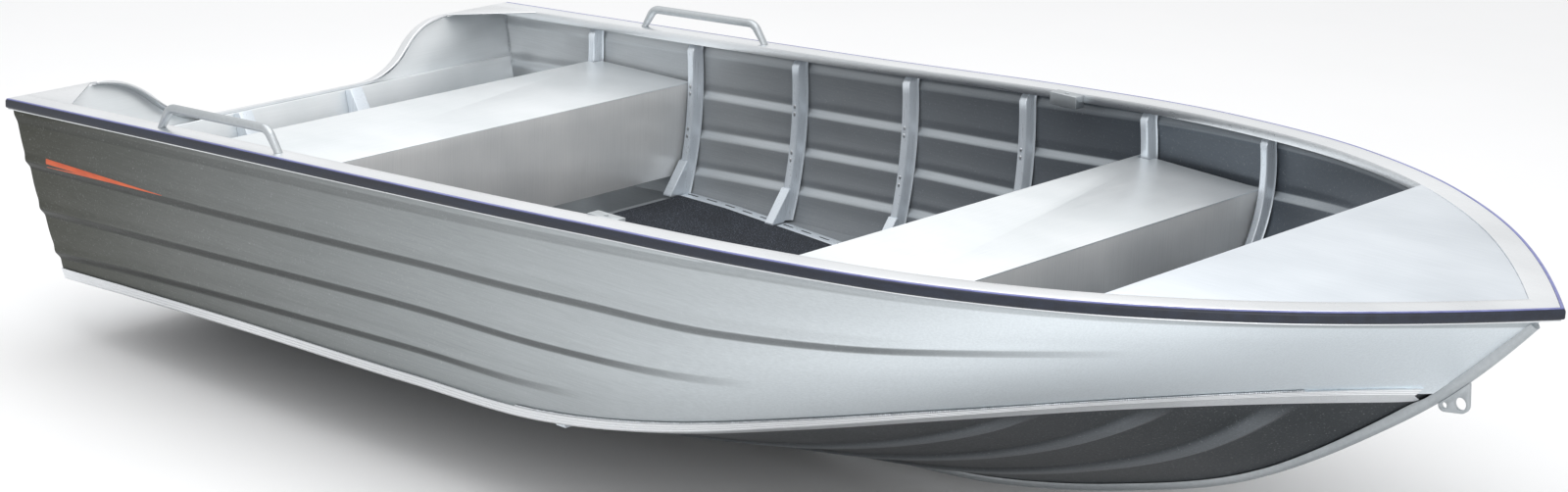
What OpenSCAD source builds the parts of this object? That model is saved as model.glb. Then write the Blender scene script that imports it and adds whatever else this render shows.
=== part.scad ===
/* [Hull form] */
// Length from the transom to the bow tip
hull_length = 4600; // [3900:50:5300]
// Beam over the rubbing strips
beam = 2130; // [1800:10:2500]
// Height of the gunwale at the bow above the keel
bow_height = 944; // [850:2:1100]
// Depth of the keel below the water when lightly loaded
draft = 150; // [100:5:220]
// How far the transom leans aft between the chine and the gunwale
transom_rake = 146; // [100:2:180]

/* [Plating] */
// Thickness of the side plating
side_t = 4; // [3:0.5:6]
// Thickness of the bottom plating
bottom_t = 5; // [4:0.5:8]
// Depth of each pressed step in the side
step_in = 12; // [6:1:16]
// Height of each pressed ledge
ledge_h = 22; // [14:1:30]
// Depth of the pressed ribs in the bottom
rib_h = 10; // [5:1:16]
// Width of the crest of a bottom rib
rib_w = 36; // [20:2:60]
// Half-breadth of the innermost bottom rib
rib_first = 200; // [160:5:240]
// Distance between neighbouring bottom ribs
rib_pitch = 210; // [180:5:230]
// Thickness of the chine extrusion
chine_t = 5; // [4:0.5:8]
// Width of each leg of the chine extrusion
chine_leg = 34; // [24:1:44]
// Width of the keel bar
keel_w = 44; // [34:1:60]
// Depth of the keel bar below the bottom plating
keel_d = 14; // [10:1:22]
// Extra depth of the bar at the stem
stem_d = 12; // [6:1:20]

/* [Gunwale] */
// Width of the gunwale over the rubbing strip
gunwale_w = 80; // [60:2:100]
// Wall of the gunwale extrusion
gunwale_t = 4; // [3:0.5:6]
// Depth of the inner lip of the gunwale
lip_h = 28; // [18:1:36]
// Thickness of the rubbing strip
rub_w = 12; // [8:1:18]
// Height of the rubbing strip
rub_h = 29; // [22:1:36]
// Running clearance between neighbouring pieces
fit = 0.3; // [0.2:0.05:0.5]

/* [Side frames] */
// Distance of the first frame from the transom, over the hull's length
frame_first = 0.101; // [0.096:0.001:0.108]
// Distance between neighbouring frames, over the hull's length
frame_pitch = 0.097; // [0.092:0.001:0.1]
// Width of a frame at the plating
frame_w = 50; // [36:1:64]
// Width of a frame at its crest
frame_crest = 26; // [16:1:34]
// Depth of a frame
frame_d = 36; // [24:1:46]
// Thickness of a floor bearer
bearer_t = 40; // [24:1:50]

/* [Thwarts and decks] */
// Height of the aft thwart above the keel
aft_thwart_z = 620; // [560:5:660]
// Height of the forward thwart above the keel
fore_thwart_z = 734; // [680:2:780]
// Depth of the panels below the thwarts
panel_h = 300; // [200:5:320]
// Plate thickness of thwarts and decks
deck_t = 4; // [3:0.5:6]
// Depth of the folded edge of a thwart or deck
fold_h = 40; // [25:1:60]
// Gap between a thwart and the side plating
thwart_gap = 10; // [4:1:16]
// Distance of the foredeck's edge from the transom, over the hull's length
foredeck_start = 0.824; // [0.804:0.002:0.84]
// Height of the top of the floor above the keel
floor_z = 262; // [250:1:290]
// Thickness of the floor panel
floor_t = 12; // [9:1:18]
// Width of the slotted rail along each side of the floor
rail_w = 46; // [36:1:60]

/* [Transom] */
// Thickness of the transom plate
transom_t = 5; // [4:0.5:8]
// Half-width of the sill of the motor cut-out
cut_half = 312; // [260:2:360]
// Depth of the motor cut-out below the gunwale
cut_depth = 168; // [120:2:200]
// Half-width between the corner plates
shoulder_half = 722; // [640:2:780]
// Length of a corner plate along the gunwale
corner_l = 216; // [150:2:280]
// Height of the cap along the top of the transom
cap_h = 10; // [8:1:16]
// Width of the cap along the top of the transom
cap_w = 40; // [30:1:54]
// Thickness of the board inside the transom
board_t = 56; // [40:1:70]
// Depth of the board inside the transom
board_h = 270; // [200:5:300]
// Width of the outboard motor pad
pad_w = 420; // [300:5:520]
// Height of the outboard motor pad
pad_h = 280; // [200:5:320]
// Thickness of the outboard motor pad
pad_t = 6; // [4:0.5:12]
// Distance of each transom knee from the centreline
knee_y = 230; // [180:2:280]
// Width of a transom knee
knee_w = 52; // [36:1:64]
// Reach of a transom knee at its foot
knee_foot = 190; // [120:5:240]
// Reach of a transom knee at its top
knee_top = 26; // [16:1:40]

/* [Fittings] */
// Diameter of the grab handle tube
tube_d = 26; // [20:1:32]
// Distance between the feet of a grab handle
handle_l = 520; // [400:5:600]
// Height of a grab handle above the gunwale
handle_h = 74; // [60:1:100]
// Distance of the aft foot of a grab handle from the transom, over the hull's length
handle_start = 0.15; // [0.13:0.002:0.16]
// How far each leg of a grab handle leans inwards
handle_lean = 42; // [20:1:60]
// Radius of the bends of a grab handle
handle_bend = 40; // [28:1:50]
// Distance of the rowlocks from the transom, over the hull's length
rowlock_place = 0.53; // [0.516:0.002:0.56]
// Length of a rowlock block
rowlock_l = 96; // [70:1:120]
// Depth of a rowlock block
rowlock_h = 38; // [28:1:50]
// Width of a rowlock block
rowlock_w = 40; // [32:1:56]
// Diameter of the rowlock socket
rowlock_bore = 13; // [10:0.5:16]
// Thickness of the bow eye plate
eye_t = 10; // [8:0.5:14]
// Diameter of the large hole in the bow eye
eye_bore = 32; // [24:1:38]
// Diameter of the small hole in the bow eye
eye_small_bore = 16; // [10:1:20]
// Diameter of the drain socket
drain_d = 44; // [36:1:56]
// Diameter of the drain bore
drain_bore = 24; // [18:1:28]

/* [Hidden] */

// Hull lines as shares. Columns: distance from the transom over hull_length,
// then half-breadth over half the beam, or height over bow_height.
SHEER_PLAN = [
  [0, 0.972], [0.174, 0.977], [0.348, 0.989], [0.522, 1], [0.652, 0.973],
  [0.761, 0.869], [0.848, 0.681], [0.924, 0.407], [1, 0]
];
SHEER_RISE = [[0, 0.775], [0.326, 0.872], [0.652, 0.971], [0.848, 0.998], [1, 1]];
// Columns: distance, half-breadth, height
CHINE = [
  [0, 0.887, 0.196], [0.072, 0.9, 0.214], [0.2, 0.92, 0.249], [0.376, 0.925, 0.277],
  [0.485, 0.927, 0.304], [0.584, 0.917, 0.395], [0.659, 0.853, 0.487], [0.734, 0.721, 0.575],
  [0.807, 0.477, 0.635], [0.886, 0.155, 0.67], [0.932, 0.018, 0.692]
];
KEEL = [
  [0, 0], [0.348, 0], [0.478, 0], [0.565, 0.033], [0.652, 0.074], [0.739, 0.171],
  [0.826, 0.321], [0.891, 0.515], [0.946, 0.725], [0.986, 0.931]
];
// How far the side swells beyond a flat panel. Columns: share of the panel's length, swell over
// half the beam.
SWELL = [[0, 0.011], [0.2, 0.024], [0.5, 0.028], [0.7, 0.047], [0.85, 0.036], [0.95, 0.006], [1, 0]];
// Share of the way down at which the swell begins, below the gunwale's flange
SWELL_FROM = 0.09;
// Pressed steps of the side. Columns: share of the panel's length, then the place of
// each step as a share of the way from the gunwale down to the chine.
STEPS = [
  [0, 0.08, 0.33, 0.6, 0.85], [0.2, 0.078, 0.338, 0.582, 0.81], [0.45, 0.075, 0.332, 0.565, 0.785],
  [0.55, 0.072, 0.342, 0.592, 0.805], [0.65, 0.065, 0.378, 0.642, 0.842], [0.75, 0.066, 0.39, 0.69, 0.872],
  [0.85, 0.08, 0.36, 0.698, 0.88], [1, 0.14, 0.4, 0.7, 0.93]
];
// Share of the panel's length at which each step has faded out
STEP_END = [1.5, 0.86, 0.68, 0.56];
STEP_FADE = 0.12;
STEP_COUNT = len(STEP_END);
RIB_COUNT = 3;
FRAME_COUNT = 7;
GUNWALE_JOINTS = [5, 7];
LEAST_SPAN = 0.004;
// Stations along the hull, finer towards the bow
STATIONS = 44;
BAR_STATIONS = 40;
BOW_FINE = 1.35;
// Facets of a round bore or tube
ROUND = 48;

alloy = "#b9bec0";
alloy_dark = "#8d9394";
alloy_pale = "#d5d9da";
rubber = "#1b1f2b";
carpet = "#2a2b2e";

chine_end = CHINE[len(CHINE) - 1][0] * hull_length;
keel_end = KEEL[len(KEEL) - 1][0] * hull_length;
origin_x = hull_length / 2;
foredeck_x = foredeck_start * hull_length;
handle_x = handle_start * hull_length;
rowlock_x = rowlock_place * hull_length;
trim_l = 450;
rib_slope = 14;
corner_inset = chine_t + fit;
LEAST_SINE = 0.5;
top_inset = rub_w + gunwale_t + fit;
stern_z = bow_height * SHEER_RISE[0][1];
rake_angle = atan(transom_rake / (bow_height * (SHEER_RISE[0][1] - CHINE[0][2])));
floor_under = floor_z - floor_t;
frame_gap = step_in / 2 + side_t + fit;

// A smooth curve through a table, by cubic spans whose slopes come from parabolas
function slope(t, c, i) = (t[i + 1][c] - t[i][c]) / (t[i + 1][0] - t[i][0]);
function mid_slope(t, c, i) =
  let (before = t[i][0] - t[i - 1][0], after = t[i + 1][0] - t[i][0])
  (slope(t, c, i - 1) * after + slope(t, c, i) * before) / (before + after);
function tangent(t, c, i) =
  i == 0 ? 2 * slope(t, c, 0) - mid_slope(t, c, 1)
  : i == len(t) - 1 ? 2 * slope(t, c, i - 1) - mid_slope(t, c, i - 1)
  : mid_slope(t, c, i);
function span(t, s, i = 0) = i == len(t) - 2 || s < t[i + 1][0] ? i : span(t, s, i + 1);
function fair(t, c, s) =
  let (i = span(t, s), h = t[i + 1][0] - t[i][0], q = (s - t[i][0]) / h)
  t[i][c] * (1 + 2 * q) * (1 - q) * (1 - q) + t[i + 1][c] * q * q * (3 - 2 * q)
  + h * q * (1 - q) * ((1 - q) * tangent(t, c, i) - q * tangent(t, c, i + 1));

function clamp(a, low, high) = min(max(a, low), high);
function unit(v) = v / norm(v);
function fine_share(k, n) = 1 - pow(1 - k / n, BOW_FINE);

// The hull's lines in millimetres, from the transom and the keel
function sheer_y(x) = beam / 2 * fair(SHEER_PLAN, 1, x / hull_length);
function sheer_z(x) = bow_height * fair(SHEER_RISE, 1, x / hull_length);
function chine_y(x) = beam / 2 * fair(CHINE, 1, x / hull_length);
function chine_z(x) = bow_height * fair(CHINE, 2, x / hull_length);
function keel_z(x) = bow_height * fair(KEEL, 1, x / hull_length);
function keel_slope(x) = keel_z(x + 0.5) - keel_z(x - 0.5);
function bar_depth(x) = keel_d + stem_d * clamp((x / hull_length - 0.84) / 0.1, 0, 1);
function apex_z(x) = keel_z(x) + bar_depth(x) * norm([1, keel_slope(x)]);
function rake_x(z) = (stern_z - z) * tan(rake_angle);
function trimmed(p) = [p[0] + rake_x(p[2]) * max(0, 1 - p[0] / trim_l), p[1], p[2]];

// A point d inboard of the gunwale's outer edge and h above it
function inset(x, d, h = 0) =
  let (m = (sheer_y(x + 1) - sheer_y(x - 1)) / 2, n = norm([1, m]))
  [x + d * m / n, sheer_y(x) - d / n, sheer_z(x) + h];
// The station whose inset point lies on the centreline
function meeting(d, low, high, n = 26) =
  let (mid = (low + high) / 2)
  n == 0 ? mid : inset(mid, d)[1] > 0 ? meeting(d, mid, high, n - 1) : meeting(d, low, mid, n - 1);
function bow_meeting(d) = meeting(d, 0.8 * hull_length, hull_length);
top_end = bow_meeting(top_inset);

// The corner where side and bottom meet, its ways up the side and to the keel, its way inboard
// that keeps both at one distance, and the sine between them, held up where they run straight on
function chine_frame(x) =
  let (
    c = [chine_y(x), chine_z(x)],
    a = unit([sheer_y(x), sheer_z(x)] - c),
    b = unit([0, apex_z(x)] - c),
    k = a - b
  ) [c, a, b, [-k[1], k[0]] * 2 / (k * k), max(a[0] * b[1] - a[1] * b[0], LEAST_SINE)];
function chine_point(x, d) =
  let (f = chine_frame(x), c = f[0] + f[3] * d) [x, max(c[0], 4), c[1]];

// Side plating: u runs to the bow and v from the gunwale down to the chine
function side_top(u) = inset(u * top_end, top_inset, -gunwale_t - side_t);
function side_low(u) = chine_point(u * chine_end, corner_inset);
function side_normal(u) =
  let (t = unit([side_low(u)[1] - side_top(u)[1], side_low(u)[2] - side_top(u)[2]])) [0, -t[1], t[0]];
function swell(u) = beam / 2 * max(0, fair(SWELL, 1, u));
function side_point(u, v) =
  let (w = max(0, v - SWELL_FROM) / (1 - SWELL_FROM))
  side_top(u) * (1 - v) + side_low(u) * v + side_normal(u) * swell(u) * 4 * w * (1 - w);
function step_size(u, k) = step_in / 2 * (k == 0 ? 0.5 : 1) * clamp((STEP_END[k] - u) / STEP_FADE, 0, 1);
// Three columns for each step: above it, below it, and halfway to the next
function step_place(u, k) = k < STEP_COUNT ? fair(STEPS, k + 1, u) : 1;
function side_columns(u) =
  let (height = norm(side_low(u) - side_top(u)), drop = ledge_h / height)
  [
    [0, 0], [rub_h / height, 0],
    for (k = [0:STEP_COUNT - 1])
      let (above = step_place(u, k), size = step_size(u, k))
      each [[above, size], [above + drop, -size], [(above + drop + step_place(u, k + 1)) / 2, 0]],
    [1, 0]
  ];
function skinned(u, v, e, least) =
  let (p = side_point(u, v) + side_normal(u) * e) trimmed([p[0], max(p[1], least), p[2]]);
function side_outer(u) = [for (c = side_columns(u)) skinned(u, c[0], c[1], 1.5)];
function side_inner(u) = [for (c = side_columns(u)) skinned(u, c[0], c[1] - side_t, 0)];

// The clear inside of the side plating at a station, by v or by height
function side_at(x, v) = side_point(x / (top_end * (1 - v) + chine_end * v), v);
function inside(x, v, d = 0) =
  let (p = side_at(x, v)) p - side_normal(x / top_end) * (frame_gap + d);
function find_v(x, z, d = 0, v = 0.5, n = 7) =
  n == 0 ? v
  : find_v(x, z, d, v + (inside(x, v, d)[2] - z) / (inside(x, 0)[2] - inside(x, 1)[2]), n - 1);
function inside_y(x, z, d = 0) = inside(x, find_v(x, z, d), d)[1];

// Bottom plating: columns at fixed half-breadths, crowded together where the chine cuts in
RIB_COLUMNS = [
  for (k = [0:RIB_COUNT - 1], c = [[-1, -1, 0], [-1, 0, 1], [1, 0, 1], [1, 1, 0]])
    [rib_first + k * rib_pitch + c[0] * rib_w / 2 + c[1] * rib_slope, c[2]]
];
BOTTOM_COLUMNS = len(RIB_COLUMNS) + 2;
function bottom_edge(x) =
  let (f = chine_frame(x), c = f[0] + f[3] * corner_inset + f[2] * (side_t + fit) / f[4])
  [x, max(c[0], 4), c[1]];
function bottom_z(x, y) =
  let (edge = bottom_edge(x), s = y / edge[1]) apex_z(x) * (1 - s) + edge[2] * s;
function bottom_lift(x) =
  let (edge = bottom_edge(x)) bottom_t * norm([1, (edge[2] - apex_z(x)) / edge[1]]);
function bottom_y(x, j) =
  let (edge = bottom_edge(x)[1], crowd = min(3, edge / BOTTOM_COLUMNS))
  j == 0 ? 0
  : j == BOTTOM_COLUMNS - 1 ? edge
  : min(RIB_COLUMNS[j - 1][0], edge - (BOTTOM_COLUMNS - 1 - j) * crowd);
function bottom_drop(x, j) =
  j == 0 || j == BOTTOM_COLUMNS - 1 ? 0
  : rib_h * RIB_COLUMNS[j - 1][1] * clamp((chine_y(x) - RIB_COLUMNS[j - 1][0] - rib_w) / (2 * rib_w), 0, 1);
function bottom_row(x, lift) =
  [for (j = [0:BOTTOM_COLUMNS - 1]) let (y = bottom_y(x, j)) trimmed([x, y, bottom_z(x, y) - bottom_drop(x, j) + lift])];
function bilge_z(x, y) = bottom_z(x, y) + bottom_lift(x) + fit;
// The clear half-breadth at a height, whether the side or the bottom limits it
function clear_y(x, z, d = 0) =
  min(
    inside_y(x, max(z, inside(x, 1)[2]), d),
    bottom_edge(x)[1] * (z - bilge_z(x, 0)) / (bottom_edge(x)[2] - apex_z(x)) - d
  );

// Motor cut-out: an S of two equal arcs from the shoulder down to the sill, lowered by d
cut_run = shoulder_half - cut_half;
cut_radius = (cut_run * cut_run + cut_depth * cut_depth) / (4 * cut_depth);
cut_angle = 2 * atan(cut_depth / cut_run);
CUT_STEPS = 8;
function cut_curve(d) = [
  for (k = [0:CUT_STEPS])
    let (a = 90 + cut_angle * k / CUT_STEPS, r = cut_radius - d)
    [shoulder_half + r * cos(a), -cut_radius + r * sin(a)],
  for (k = [1:CUT_STEPS])
    let (a = -90 + cut_angle * (1 - k / CUT_STEPS), r = cut_radius + d)
    [cut_half + r * cos(a), cut_radius - cut_depth + r * sin(a)]
];
function mirrored(points) = [for (k = [len(points) - 1:-1:0]) [-points[k][0], points[k][1]]];
function on_slope(z) = (z - stern_z) / cos(rake_angle);

// A closed skin over like loops of points: point j of a loop faces point n - 1 - j at its ends,
// and facing quads are split the same way, so that a thin twisted wall never crosses itself
module loft(loops) {
  n = len(loops[0]);
  last = len(loops) - 1;
  points = [for (row = loops) each row];
  sides = [
    for (i = [0:last - 1], j = [0:n - 1])
      let (a = i * n + j, b = i * n + (j + 1) % n)
      each j < n / 2 ? [[a, b, b + n], [a, b + n, a + n]] : [[a, b, a + n], [b, b + n, a + n]]
  ];
  ends = [
    for (j = [0:n / 2 - 2])
      let (a = j, b = j + 1, c = n - 2 - j, d = n - 1 - j, e = last * n)
      each [[a, c, b], [a, d, c], [e + a, e + b, e + c], [e + a, e + c, e + d]]
  ];
  polyhedron(points = points, faces = concat(sides, ends), convexity = 10);
}

module placed() {
  translate([-origin_x, 0, -draft]) children();
}
module starboard() {
  mirror([0, 1, 0]) children();
}
module both_sides() {
  children();
  mirror([0, 1, 0]) children();
}
// The transom's plane: local x to port, y up the slope, z forward, from the gunwale's height
module on_transom() {
  placed() translate([0, 0, stern_z]) rotate([0, -rake_angle, 0]) rotate([90, 0, 90]) children();
}
function reversed(list) = [for (k = [len(list) - 1:-1:0]) list[k]];

module side_panel() {
  color(alloy) placed() loft([
    for (k = [0:STATIONS]) let (u = fine_share(k, STATIONS)) concat(side_outer(u), reversed(side_inner(u)))
  ]);
}
module bottom_panel() {
  color(alloy_dark) placed() loft([
    for (k = [0:STATIONS]) let (x = chine_end * fine_share(k, STATIONS))
      concat(reversed(bottom_row(x, 0)), bottom_row(x, bottom_lift(x)))
  ]);
}
module chine_strip() {
  color(alloy_pale) placed() loft([
    for (k = [0:STATIONS - 1])
      let (
        u = fine_share(k, STATIONS),
        x = chine_end * u,
        f = chine_frame(x),
        up = unit(side_point(u, 0.95) - side_low(u)),
        down = unit([x, 0, apex_z(x)] - side_low(u)),
        low_leg = min(chine_leg, 0.6 * f[0][0] / abs(f[2][0])),
        c = [x, f[0][0], f[0][1]],
        inner = c + [0, f[3][0], f[3][1]] * chine_t,
        loop = [c + up * chine_leg, c, c + down * low_leg, inner + down * (low_leg - chine_t), inner,
                inner + up * (chine_leg - chine_t)]
      ) [for (p = loop) trimmed(p)]
  ]);
}
module keel_bar() {
  color(alloy_dark) placed() loft([
    for (k = [0:BAR_STATIONS])
      let (
        x = keel_end * k / BAR_STATIONS,
        m = keel_slope(x),
        up = [-m, 1] / norm([1, m]),
        d = bar_depth(x) - fit,
        half = keel_w / 2 * (1 - 0.35 * clamp((x / hull_length - 0.6) / 0.3, 0, 1)),
        rise = clamp((chine_point(min(x, chine_end), 0)[2] - apex_z(x)) / chine_y(min(x, chine_end)), 0.1, 0.6) * half,
        side = [[0.55 * half, 0], [half, 0.4 * d], [half, d + rise * 0.9], [0.1 * half, d]]
      ) [
        for (p = side) trimmed([x + up[0] * p[1], -p[0], keel_z(x) + up[1] * p[1]]),
        for (p = reversed(side)) trimmed([x + up[0] * p[1], p[0], keel_z(x) + up[1] * p[1]])
      ]
  ]);
}
// A section of [inboard distance, height] points carried along the gunwale, between two shares of it
module along_sheer(section, aft = 0, fore = 1) {
  ends = [for (p = section) bow_meeting(p[0])];
  shares = [
    aft,
    for (k = [0:STATIONS]) let (s = fine_share(k, STATIONS)) if (s > aft + LEAST_SPAN && s < fore - LEAST_SPAN) s,
    fore
  ];
  loft([
    for (s = shares)
      [for (j = [0:len(section) - 1]) let (p = inset(s * ends[j], section[j][0], section[j][1])) [p[0], max(p[1], 0), p[2]]]
  ]);
}
// The gunwale comes in lengths that meet at frames
module gunwale() {
  flange = rub_w + gunwale_t;
  joints = [0, for (i = GUNWALE_JOINTS) frame_x(i) / hull_length, 1];
  color(alloy_pale) placed() for (i = [1:len(joints) - 1])
    along_sheer([
      [flange, -rub_h], [flange, -gunwale_t], [gunwale_w - gunwale_t, -gunwale_t], [gunwale_w - gunwale_t, -lip_h],
      [gunwale_w, -lip_h], [gunwale_w, 0], [rub_w, 0], [rub_w, -rub_h]
    ], joints[i - 1] + (i > 1 ? fit / hull_length : 0), joints[i]);
}
module rub_strip() {
  edge = rub_w / 3;
  color(rubber) placed() along_sheer([
    [rub_w - fit, -2], [edge, -2], [0, -edge - 2], [0, edge - rub_h], [edge, -rub_h], [rub_w - fit, -rub_h]
  ]);
}

module transom_outline(d) {
  rim = [for (p = reversed(side_inner(0))) [p[1] - fit, on_slope(p[2])]];
  half = concat(
    [[0, on_slope(bilge_z(0, 0))]],
    [for (j = [1:BOTTOM_COLUMNS - 2]) [bottom_y(0, j), on_slope(bilge_z(0, bottom_y(0, j)))]],
    [[rim[0][0], max(rim[0][1], on_slope(bilge_z(0, rim[0][0])))]],
    [for (k = [1:len(rim) - 2]) rim[k]],
    [[rim[len(rim) - 1][0], -d]],
    cut_curve(d)
  );
  polygon(concat(half, [for (k = [len(half) - 1:-1:1]) [-half[k][0], half[k][1]]]));
}
module transom_plate() {
  color(alloy) difference() {
    on_transom() linear_extrude(transom_t) transom_outline(cap_h + fit);
    drain_place() cylinder(d = drain_bore + 2 * bottom_t, h = 8 * transom_t, center = true, $fn = ROUND);
  }
}
module transom_cap() {
  top = cut_curve(0);
  under = cut_curve(cap_h);
  color(alloy_pale) on_transom() translate([0, 0, transom_t / 2 - cap_w / 2 + cap_h])
    linear_extrude(cap_w) polygon(concat(top, mirrored(top), reversed(mirrored(under)), reversed(under)));
}
board_front = transom_t + fit + board_t;
sill_h = -cut_depth - cap_h - fit;
board_side = inside_y(board_t, stern_z - cut_depth - board_h, thwart_gap);
module transom_board() {
  color(alloy) on_transom() translate([0, sill_h - board_h, transom_t + fit])
    linear_extrude(board_t) translate([-board_side, 0]) square([2 * board_side, board_h]);
}
module motor_pad() {
  color(alloy_dark) on_transom() translate([-pad_w / 2, sill_h - pad_h, -pad_t]) cube([pad_w, pad_h, pad_t]);
}
module transom_knees() {
  face = board_front + fit;
  toe = face + knee_foot;
  foot_z = bilge_z(rake_x(0) + toe, knee_y + knee_w / 2);
  heel_h = on_slope(foot_z - face * sin(rake_angle));
  toe_h = on_slope(foot_z - toe * sin(rake_angle));
  color(alloy_dark) both_sides() on_transom() translate([knee_y + knee_w / 2, 0, 0]) rotate([0, -90, 0])
    linear_extrude(knee_w)
      polygon([[face, sill_h], [face + knee_top, sill_h], [toe, toe_h + knee_foot / 4], [toe, toe_h], [face, heel_h]]);
}
drain_h = on_slope(bilge_z(0, 0) + drain_d);
module drain_place() {
  on_transom() translate([0, drain_h, transom_t / 2]) children();
}
module drain_socket() {
  color(alloy_pale) drain_place() difference() {
    union() {
      cylinder(d = drain_bore + 2 * bottom_t - 2 * fit, h = 5 * transom_t, center = true, $fn = ROUND);
      translate([0, 0, -transom_t / 2 - fit - transom_t]) cylinder(d = drain_d, h = transom_t, $fn = ROUND);
    }
    cylinder(d = drain_bore, h = 9 * transom_t, center = true, $fn = ROUND);
  }
}
module corner_plate() {
  d = gunwale_w + fit;
  aft = inset(0, d);
  fore = inset(corner_l, d);
  tilt = atan((sheer_z(corner_l) - sheer_z(0)) / corner_l);
  color(alloy_pale) placed() translate([0, 0, stern_z]) rotate([0, -tilt, 0]) translate([0, 0, -deck_t])
    linear_extrude(deck_t) polygon([[0, shoulder_half + fit], [0, aft[1]], [fore[0] / cos(tilt), fore[1]]]);
}

FRAME_STEPS = 12;
function frame_x(i) = (frame_first + (i - 1) * frame_pitch) * hull_length;
module frame(i) {
  x = frame_x(i);
  low = find_v(x, max(floor_under + fit, bottom_edge(x)[2] + 2 * bottom_lift(x)));
  top = find_v(x, sheer_z(x) - lip_h - 2);
  full = top + 0.05;
  levels = [[top, 0.3], for (k = [0:FRAME_STEPS]) [full + (low - full) * k / FRAME_STEPS, 1]];
  function ring(v, depth) = [
    inside(x - frame_w / 2, v), inside(x - frame_crest / 2, v, frame_d * depth),
    inside(x + frame_crest / 2, v, frame_d * depth), inside(x + frame_w / 2, v)
  ];
  color(alloy) placed() both_sides() loft([for (l = levels) ring(l[0], l[1])]);
}
module floor_bearers() {
  color(alloy_dark) placed() for (i = [1:FRAME_COUNT]) {
    aft = frame_x(i) - bearer_t / 2;
    fore = frame_x(i) + bearer_t / 2;
    edge = [min(clear_y(aft, floor_under), clear_y(fore, floor_under)), floor_under];
    knuckle = min(edge[0], bottom_edge(fore)[1], bottom_edge(aft)[1]);
    low = [knuckle, min(floor_under, max(bilge_z(fore, knuckle), bilge_z(aft, knuckle)))];
    half = edge[0] > knuckle ? [low, edge] : [edge];
    translate([aft, 0, 0]) rotate([90, 0, 90]) linear_extrude(bearer_t)
      polygon(concat([[0, bilge_z(fore, 0)]], half, mirrored(half)));
  }
}
FIRST_BAY = 2;
LAST_BAY = 5;
BAY_STEPS = 4;
function floor_edge(x, d) = min(clear_y(x, floor_z, d), clear_y(x, floor_under + fit, d));
function bay(i) = [
  for (k = [0:BAY_STEPS])
    let (aft = frame_x(i) + frame_w / 2 + fit, fore = frame_x(i + 1) - frame_w / 2 - fit)
    aft + (fore - aft) * k / BAY_STEPS
];
module floor_panel() {
  edge = [for (i = [FIRST_BAY:LAST_BAY], x = bay(i)) [x, floor_edge(x, rail_w + fit)]];
  color(carpet) placed() translate([0, 0, floor_under + fit]) linear_extrude(floor_t - fit)
    polygon(concat(edge, reversed([for (p = edge) [p[0], -p[1]]])));
}
module floor_rails() {
  color(alloy) placed() both_sides() for (i = [FIRST_BAY:LAST_BAY])
    translate([0, 0, floor_under + fit]) linear_extrude(floor_t - fit)
      polygon(concat(
        [for (x = bay(i)) [x, floor_edge(x, 0)]],
        reversed([for (x = bay(i)) [x, floor_edge(x, rail_w)]])
      ));
}

// Half-width of a frame where a thwart's panel meets its tapered side
frame_seat = frame_w / 2 - thwart_gap * (frame_w - frame_crest) / (2 * frame_d) + 2 * fit;
// Where the aft side of a frame meets the edge of a thwart at a height
function seat_x(i, z) =
  let (x = frame_x(i) - frame_seat) inside(x, find_v(x, z, thwart_gap), thwart_gap)[0];
aft_thwart = [frame_x(1), seat_x(2, aft_thwart_z)];
fore_thwart = [frame_x(6) - 30, seat_x(7, fore_thwart_z)];
function thwart_edge(x, z) = min(inside_y(x, z, thwart_gap), inside_y(x, z - deck_t, thwart_gap));
module thwart_top(span_x, z, notch) {
  difference() {
    union() {
      translate([0, 0, z - deck_t]) linear_extrude(deck_t)
        polygon([
          for (s = [1, -1], x = s > 0 ? span_x : [span_x[1], span_x[0]]) [x, s * thwart_edge(x, z)]
        ]);
      half = inside_y(span_x[0], z - fold_h, thwart_gap);
      translate([span_x[0], -half, z - fold_h]) cube([deck_t, 2 * half, fold_h - deck_t]);
    }
    both_sides() translate([notch - frame_w / 2 - fit, inside_y(notch, z - fold_h, frame_d + thwart_gap), z - 2 * fold_h])
      cube([frame_w + 2 * fit, 2 * frame_d + 2 * thwart_gap, 3 * fold_h]);
  }
}
PANEL_STEPS = 4;
module thwart_panel(x, z, h) {
  edge = [for (k = [0:PANEL_STEPS]) let (rise = z - h * (1 - k / PANEL_STEPS)) [clear_y(x, rise, thwart_gap), rise]];
  rotate([90, 0, 90]) linear_extrude(deck_t) polygon(concat(edge, mirrored(edge)));
}
module aft_thwart_top() {
  color(alloy_pale) placed() thwart_top(aft_thwart, aft_thwart_z, frame_x(1));
}
module aft_thwart_front() {
  color(alloy) placed() translate([aft_thwart[1] - deck_t, 0, 0])
    thwart_panel(aft_thwart[1], aft_thwart_z - deck_t, panel_h);
}
module fore_thwart_top() {
  color(alloy_pale) placed() thwart_top(fore_thwart, fore_thwart_z, frame_x(6));
}
module fore_thwart_front() {
  color(alloy) placed() translate([fore_thwart[1] - deck_t, 0, 0])
    thwart_panel(fore_thwart[1], fore_thwart_z - deck_t, panel_h);
}
module fore_thwart_back() {
  x = frame_x(6) + frame_seat;
  color(alloy) placed() translate([x, 0, 0]) thwart_panel(x + deck_t, fore_thwart_z - deck_t, panel_h);
}
DECK_STEPS = 14;
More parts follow.
